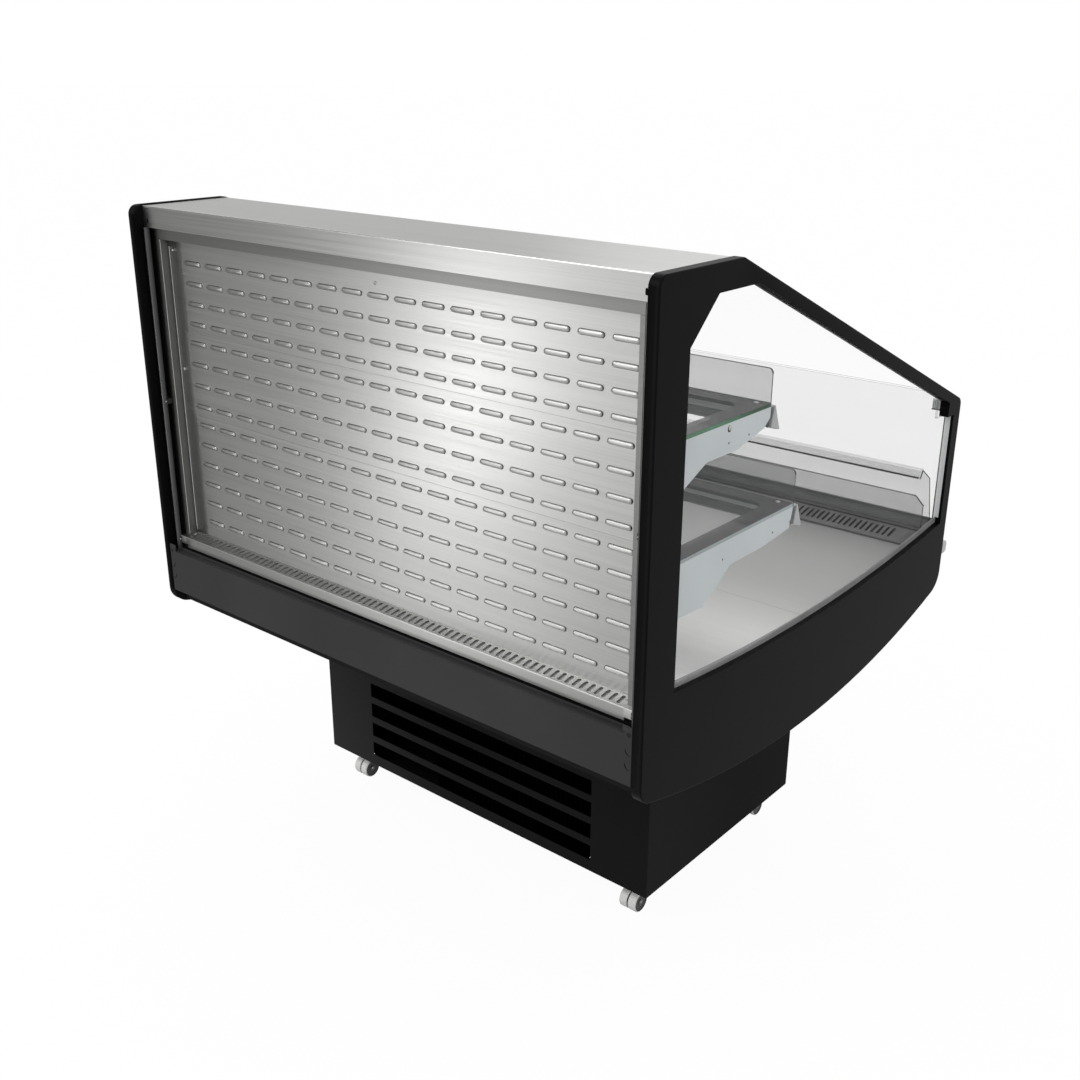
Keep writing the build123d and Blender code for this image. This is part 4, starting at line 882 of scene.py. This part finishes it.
BRACKET_X = 578.0
BRACKET_T = 2.0
HOLES = {"upper": ((230.0, 995.4), (287.7, 995.9)), "lower": ((232.0, 805.7), (385.0, 806.5))}
HOLE = ((0.0, 0.5), (1.7, 0.5), (1.7, -1.2), (0.0, -1.2))
RIVET = (230.5, 1018.8)
RIVET_SEAT_DROP = (0.8, 1.0)
RIVET_SEAT = ((0.0, 0.5), (5.4, 0.5), (5.4, -0.9), (0.0, -0.9))
RIVET_HEAD = ((0.0, 1.9), (1.6, 1.8), (3.2, 1.3), (4.1, 0.4), (4.3, -0.95), (0.0, -0.95))
HOOK_PLACES = ((344.0, 1003.0), (442.5, 811.0))
HOOK = ((-6.0, 0.0), (3.0, 3.0), (3.5, -7.0), (-1.0, -9.0), (-1.5, -5.0))

# The holes and the rivet's seat are cut with near-black walls: painted shade
for level, holes in HOLES.items():
    node = f"shelf_brackets_{level}"
    shapes = []
    for side in SIDES:
        for depth, z in holes:
            shapes.append(turned((side * BRACKET_X, depth, z), LENGTHWISE * side, HOLE, steps=24))
        if level == "upper":
            depth, z = (place - drop for place, drop in zip(RIVET, RIVET_SEAT_DROP))
            shapes.append(turned((side * BRACKET_X, depth, z), LENGTHWISE * side, RIVET_SEAT))
    attach(carved(f"{node}_drilled", node, shapes, black_and_recess_shade), node, True)
rivets = [turned((side * BRACKET_X, *RIVET), LENGTHWISE * side, RIVET_HEAD) for side in SIDES]
attach(solid("bracket_rivets", rivets, [screw_metal]), "shelf_brackets_upper")
hooks = []
for x in (-BRACKET_X, BRACKET_X - BRACKET_T):
    for depth, z in HOOK_PLACES:
        hooks.append(bar(x, [(depth + run, z + rise) for run, rise in HOOK], BRACKET_T))
attach(solid("bracket_hooks", hooks, [FINISHES["dark_steel"]], bevel=0.5), "shelf_brackets_upper")

# Price rails: ribbed wedge caps on their ends

RAIL_END = 575.6
CAP_T = 1.8
CAP_TIP = 2.2
RAIL_CAPS = (((363.7, 1026.0), (382.4, 983.0), (355.6, 992.0)),
             ((463.7, 834.0), (482.4, 791.0), (456.0, 800.5)))
CAP_RIBS = 9
RIB_START, RIB_WIDTH = 0.2, 0.45
RIB_SINK = 0.9
RIB_RISE = 0.6
RIB_OVER_FRONT, RIB_OVER_BACK = 0.9, 0.4

caps = []
for side in SIDES:
    for tip, front, back in RAIL_CAPS:
        x = RAIL_END * side
        push = CAP_T * side
        caps.append(slab([(x, *tip), (x, tip[0] + CAP_TIP, tip[1]), (x, *front), (x, *back)], (push, 0, 0)))
        for i in range(1, CAP_RIBS):
            share = (i + RIB_START) / CAP_RIBS
            after = share + RIB_WIDTH / CAP_RIBS
            rib = []
            for part, target in ((share, back), (share, front), (after, front), (after, back)):
                over = RIB_OVER_FRONT if target is front else RIB_OVER_BACK
                rib.append((x + push * RIB_SINK, tip[0] + (target[0] - tip[0]) * part + over,
                            tip[1] + (target[1] - tip[1]) * part))
            caps.append(slab(rib, (RIB_RISE * side, 0, 0)))
attach(solid("rail_caps", caps, [rib_plastic]), "price_rails")

# Clear pads between the shelf glass and the fences

PAD_PLACES = ((555.5, 437.0, 841.0), (559.0, 336.5, 1033.0))
PAD = ((0.0, 1.6), (2.6, 1.5), (3.8, 1.0), (4.3, 0.0), (4.3, -0.2), (0.0, -0.2))

pads = [turned((side * x, depth, z), UPWARDS, PAD, steps=32) for side in SIDES for x, depth, z in PAD_PLACES]
attach(solid("glass_pads", pads, [rib_plastic]), "shelf_glass_upper")

# Dark top edges of the clear sheets, and pale pieces on the ends of the air guard's lip fold that paint its
# highlight

SHEET_EDGES = (("shelf_fences", 347.0, 3.0), ("shelf_fences", 447.0, 3.0), ("low_fence", 1001.6, 4.0))
FACE_REACH = 0.8
OUTLINE_REACH = 25.0
TRIM_PROUD, TRIM_RISE = 0.1, 0.7
GUARD_HALF = 571.0
GUARD_LINE = ((979.9, 751.1), (981.0, 747.1), (980.4, 746.9), (979.3, 750.9))
GUARD_FOLD = ((571.5, 980.5, 751.5), (573.1, 981.5, 751.2), (565.0, 1012.3, 760.5), (563.0, 1012.0, 760.7))
GUARD_FOLD_T = 3.6


def top_outline(node, depth):
    """Upper outline of a sheet across the length, in millimetres, from its mesh."""
    points = [vertex.co for vertex in frame["nodes"][node].data.vertices
              if abs(vertex.co.y - BACK_Y - depth * MM) < FACE_REACH * MM]
    least = max(point.z for point in points) - OUTLINE_REACH * MM
    return sorted({(round(point.x / MM, 2), round(point.z / MM, 2)) for point in points if point.z > least})


def edge_trim(points, depth, width, rise):
    """Shape of a thin strip on an upper outline."""
    outer = []
    for i, (x, z) in enumerate(points):
        before, after = points[max(i - 1, 0)], points[min(i + 1, len(points) - 1)]
        run, climb = after[0] - before[0], after[1] - before[1]
        length = math.hypot(run, climb)
        outer.append((x - climb / length * rise, z + run / length * rise))
    return slab([(x, depth, z) for x, z in [*points, *reversed(outer)]], (0, width, 0))


trims = [edge_trim(top_outline(node, depth), depth - TRIM_PROUD, width + 2 * TRIM_PROUD, TRIM_RISE)
         for node, depth, width in SHEET_EDGES]
trims.append(bar(-GUARD_HALF, GUARD_LINE, 2 * GUARD_HALF))
attach(solid("sheet_edges", trims, [FINISHES["dark_steel"]]), "low_fence")
lip_fold_highlights = [slab([(side * x, depth, z) for x, depth, z in GUARD_FOLD], (0, 0, -GUARD_FOLD_T))
             for side in SIDES]
attach(solid("guard_lip_ends", lip_fold_highlights, [pale_seal_and_highlight]), "air_guard")

# Window seals: a smoky strip along the sill and a pale one up the front

SEAL_X = 587.3
SILL_ENDS = (79.5, 1048.0)
SILL_Z, SILL_DIP = 640.6, 29.0
SEAL_HEIGHT, SEAL_T = 12.5, 1.5
SEAL_STEPS = 40
FRONT_SEALS = (((SEAL_X, 1047.9, 651.0), (594.4, 1048.8, 868.0)),
               ((SEAL_X, 1038.0, 652.0), (588.6, 1047.7, 868.0)))

seals, fronts = [], []
for side in SIDES:
    lower, upper = [], []
    for i in range(SEAL_STEPS + 1):
        share = i / SEAL_STEPS
        depth = SILL_ENDS[0] + (SILL_ENDS[1] - SILL_ENDS[0]) * share
        z = SILL_Z - SILL_DIP * (1 - (2 * share - 1) ** 2)
        lower.append((side * SEAL_X, depth, z))
        upper.append((side * SEAL_X, depth, z + SEAL_HEIGHT))
    seals.append(slab(lower + upper[::-1], (side * SEAL_T, 0, 0)))
    for ends in FRONT_SEALS:
        fronts.append(block(*sorted((side * x, depth, z) for x, depth, z in ends)))
attach(solid("sill_seals", seals, [seal_grey]), "end_glass_panes")
attach(solid("front_seals", fronts, [pale_seal_and_highlight], bevel=0.3), "end_glass_panes")

# Light tube clips: small bright screws

CLIP_SCREW = ((0.0, -1.3), (1.4, -1.1), (2.0, -0.3), (2.0, 0.4), (0.0, 0.4))
CLIP_DEPTH = 17.9
CLIP_HEIGHTS = (615.0, 903.0)
CLIP_XS = (567.5, 576.5)

clip_screws = [turned((side * x, CLIP_DEPTH, z), DEPTHWISE, CLIP_SCREW, steps=20)
               for side in SIDES for z in CLIP_HEIGHTS for x in CLIP_XS]
attach(solid("clip_screws", clip_screws, [screw_metal]), "light_tube_clips")

# Glass clamps: two ridged pads on a plate, over a dark strip that is their painted shadow

PADS = ((553.0, 564.5), (567.0, 578.5))
PAD_DEPTHS, PAD_HEIGHTS = (1050.0, 1055.8), (876.5, 896.5)
RIDGES, RIDGE_START, RIDGE_PITCH, RIDGE_WIDTH = 3, 1.2, 3.4, 2.0
RIDGE_DEPTHS, RIDGE_HEIGHTS = (1047.2, 1050.4), (878.5, 895.0)
CLAMP_ENDS = (551.2, 580.9)
SHADOW_STRIP_DEPTHS, SHADOW_STRIP_HEIGHTS = (1051.5, 1055.9), (873.2, 875.6)
PLATE_INSET = 1.0
PLATE_DEPTHS, PLATE_HEIGHTS = (1052.5, 1055.6), (875.2, 895.6)


def cuboid(xs, depths, heights, mark=0):
    """Shape of a box between pairs of lengths, depths and heights."""
    low, high = zip(xs, depths, heights)
    return block(low, high, mark)


clamp = []
for side in SIDES:
    for ends in PADS:
        low_x, high_x = sorted(side * x for x in ends)
        clamp.append(cuboid((low_x, high_x), PAD_DEPTHS, PAD_HEIGHTS))
        for i in range(RIDGES):
            ridge = low_x + RIDGE_START + RIDGE_PITCH * i
            clamp.append(cuboid((ridge, ridge + RIDGE_WIDTH), RIDGE_DEPTHS, RIDGE_HEIGHTS))
    low_x, high_x = sorted(side * x for x in CLAMP_ENDS)
    clamp.append(cuboid((low_x, high_x), SHADOW_STRIP_DEPTHS, SHADOW_STRIP_HEIGHTS, 1))
    clamp.append(cuboid((low_x + PLATE_INSET, high_x - PLATE_INSET), PLATE_DEPTHS, PLATE_HEIGHTS))
attach(solid("clamp_ridges", clamp, [clamp_plastic, hub_grey_and_shade], bevel=0.45), "glass_clamps", True)

# Wall screws: domed heads, with dark cross bars that paint the shade of their cross recesses

SCREW_PLACES = ((-540.0, 1194.0), (540.0, 1194.0), (-540.0, 967.0), (540.0, 967.0), (12.0, 1194.0))
SCREW_HEAD = ((0.0, -1.6), (1.6, -1.5), (2.7, -0.9), (3.2, 0.0), (3.2, 0.3), (0.0, 0.3))
CROSS_BARS = ((1.5, 0.28, 1.66), (0.28, 1.5, 1.665))
CROSS_BOTTOM = 1.2

heads = []
for x, z in SCREW_PLACES:
    heads.append(turned((x, WALL_BACK, z), DEPTHWISE, SCREW_HEAD, steps=32))
    for half_x, half_z, out in CROSS_BARS:
        heads.append(cuboid((x - half_x, x + half_x), (WALL_BACK - out, WALL_BACK - CROSS_BOTTOM),
                            (z - half_z, z + half_z), 1))
attach(solid("wall_screws", heads, [screw_metal, hub_grey_and_shade]), "screws", True)

# Base: bright studs at the lowest opening's lower corners

STUD_PLACES = ((-299.4, 100.4), (301.0, 103.5))
STUD_DEPTH = 273.2
STUD = ((0.0, -1.0), (0.9, -0.9), (1.4, -0.4), (1.5, 0.4), (0.0, 0.4))

studs = [turned((x, STUD_DEPTH, z), DEPTHWISE, STUD, steps=24) for x, z in STUD_PLACES]
attach(solid("base_studs", studs, [screw_metal]), "base_grille_panel")

# Control unit: a sealed face with a display window and four keys

FACE_DEPTH = 794.0
DISPLAY = ((302.0, FACE_DEPTH - 1.0, 333.0), (336.0, FACE_DEPTH + 0.8, 353.0))
KEYS, KEY_START, KEY_PITCH, KEY_Z = 4, 341.5, 6.2, 343.0
KEY = ((0.0, 1.4), (1.6, 1.3), (2.3, 0.9), (2.6, -0.5), (0.0, -0.5))

keys = [block(*DISPLAY, 1)]
for i in range(KEYS):
    keys.append(turned((KEY_START + KEY_PITCH * i, FACE_DEPTH, KEY_Z), DEPTHWISE, KEY, steps=24))
attach(solid("control_keys", keys, [rib_plastic, black_and_recess_shade], bevel=0.3), "control_unit")

# Camera

camera = linked("camera", bpy.data.cameras.new("camera"))
camera.data.lens = CAMERA_LENS
camera.data.sensor_width = CAMERA_SENSOR
camera.data.clip_start, camera.data.clip_end = CAMERA_CLIP
camera.location = CAMERA_PLACE
azimuth, down = math.radians(CAMERA_AZIMUTH), math.radians(CAMERA_DOWN)
look = Vector((-math.sin(azimuth) * math.cos(down), math.cos(azimuth) * math.cos(down), -math.sin(down)))
camera.rotation_euler = look.to_track_quat("-Z", "Y").to_matrix().to_4x4().to_euler()
camera.rotation_euler.rotate_axis("Z", math.radians(CAMERA_ROLL))
bpy.context.scene.camera = camera

# Floor, background and lights


def ray_factor(tree, camera, glossy):
    """Factor with one value for camera and transmission rays and another for glossy rays."""
    path = add_node(tree, "ShaderNodeLightPath")
    seen = math_node(tree, "MAXIMUM", path.outputs["Is Camera Ray"], path.outputs["Is Transmission Ray"])
    shown = math_node(tree, "MULTIPLY", seen, camera)
    mirrored = math_node(tree, "MULTIPLY", path.outputs["Is Glossy Ray"], glossy)
    return math_node(tree, "MAXIMUM", shown, mirrored)


# Reflections show a bright side and a dim side of the studio. The angle is measured from straight
# behind the louvred wall towards its left, in radians.
MIRRORED = 0.75
BRIGHT_ANGLE = 0.6
BRIGHT_FROM, BRIGHT_TO = 0.05, 0.3
BRIGHT_EXTRA = 0.5
DIM_FROM, DIM_TO = 0.76, 0.96
DIM_END, DIM_OVER = 1.6, 2.0
DIM_LOSS = 0.55


def mirrored_light(tree, x, y):
    """Brightness that reflections see in a direction."""
    left = math_node(tree, "MULTIPLY", x, -1.0)
    behind = math_node(tree, "MULTIPLY", y, -1.0)
    angle = math_node(tree, "ARCTAN2", left, behind)
    off = math_node(tree, "ABSOLUTE", math_node(tree, "SUBTRACT", angle, BRIGHT_ANGLE))
    near = math_node(tree, "SUBTRACT", 1.0, smooth_step(tree, off, BRIGHT_FROM, BRIGHT_TO))
    bright = math_node(tree, "ADD", math_node(tree, "MULTIPLY", near, BRIGHT_EXTRA), MIRRORED)
    inside = math_node(tree, "SUBTRACT", 1.0, smooth_step(tree, angle, DIM_END, DIM_OVER))
    dim = math_node(tree, "MULTIPLY", smooth_step(tree, angle, DIM_FROM, DIM_TO), inside)
    return math_node(tree, "SUBTRACT", bright, math_node(tree, "MULTIPLY", dim, DIM_LOSS))


def blend(tree, factor, first, second):
    """A number between two, by a factor."""
    rest = math_node(tree, "SUBTRACT", 1.0, factor)
    return math_node(tree, "ADD", math_node(tree, "MULTIPLY", rest, first),
                     math_node(tree, "MULTIPLY", factor, second))


FLOOR_GREY = 0.5
FLOOR_ROUGH = 0.9
FLOOR_SHOWN = 0.9
FLOOR_MIRRORED = 0.6
FLOOR_GLOW = 1.065
FLOOR_REACH = 60.0

floor_mesh = bpy.data.meshes.new("floor")
corners = [(x * FLOOR_REACH, y * FLOOR_REACH, 0.0) for x, y in ((-1, -1), (1, -1), (1, 1), (-1, 1))]
floor_mesh.from_pydata(corners, [], [(0, 1, 2, 3)])
floor = linked("floor", floor_mesh)
floor_material, tree, shader = new_material("floor_paper")
shader.inputs["Base Color"].default_value = (FLOOR_GREY, FLOOR_GREY, FLOOR_GREY, 1.0)
shader.inputs["Roughness"].default_value = FLOOR_ROUGH
shader.inputs["Specular IOR Level"].default_value = 0.0
glow = add_node(tree, "ShaderNodeEmission")
# Painted reflection: for glossy rays the floor's glow is painted by place, brighter on one side and dimmer on
# another
from_wall = math_node(tree, "SUBTRACT", part_place(tree, "Y"), BACK_Y)
path = add_node(tree, "ShaderNodeLightPath")
mirrored = mirrored_light(tree, part_place(tree, "X"), from_wall)
tree.links.new(blend(tree, path.outputs["Is Glossy Ray"], FLOOR_GLOW, mirrored), glow.inputs["Strength"])
mixed = add_node(tree, "ShaderNodeMixShader")
tree.links.new(ray_factor(tree, FLOOR_SHOWN, FLOOR_MIRRORED), mixed.inputs["Fac"])
tree.links.new(shader.outputs[0], mixed.inputs[1])
tree.links.new(glow.outputs[0], mixed.inputs[2])
tree.links.new(mixed.outputs[0], tree.nodes["Material Output"].inputs["Surface"])
paint(floor, floor_material)

# The world is white to the camera and softer as a light
WORLD_LIGHT = 0.75

world = bpy.data.worlds.new("studio")
bpy.context.scene.world = world
world.use_nodes = True
tree = world.node_tree
background = tree.nodes["Background"]
background.inputs["Color"].default_value = (1.0, 1.0, 1.0, 1.0)
lit = blend(tree, ray_factor(tree, 1.0, 0.0), WORLD_LIGHT, 1.0)
path = add_node(tree, "ShaderNodeLightPath")
mirrored = mirrored_light(tree, part_place(tree, "X", "Generated"), part_place(tree, "Y", "Generated"))
tree.links.new(blend(tree, path.outputs["Is Glossy Ray"], lit, mirrored), background.inputs["Strength"])


def area_light(name, place, target, size, brightness):
    """A soft rectangular lamp aimed at a point, as bright as a white card times a factor."""
    lamp = bpy.data.lights.new(name, "AREA")
    lamp.shape = "RECTANGLE"
    lamp.size, lamp.size_y = size
    lamp.energy = brightness * math.pi * size[0] * size[1]
    obj = linked(name, lamp)
    obj.location = place
    obj.rotation_euler = (Vector(target) - Vector(place)).to_track_quat("-Z", "Y").to_euler()


area_light("strip_lamp", (-1.6, -2.45, 0.4), (0.2, -0.5, 0.9), (0.42, 0.7), 4.4)
area_light("upper_lamp", (-1.7, -3.0, 3.3), (0.2, -0.4, 0.9), (2.0, 1.2), 4.0)
area_light("front_lamp", (-1.2, 2.4, 3.4), (0.2, 0.0, 0.7), (1.6, 1.6), 1.5)
area_light("side_lamp", (3.4, 1.0, 2.0), (0.5, 0.0, 0.7), (1.6, 1.6), 0.4)

# Many clear sheets lie behind one another
CLEAR_SHEETS = 32
bpy.context.scene.view_settings.view_transform = "Standard"
bpy.context.scene.cycles.transparent_max_bounces = CLEAR_SHEETS
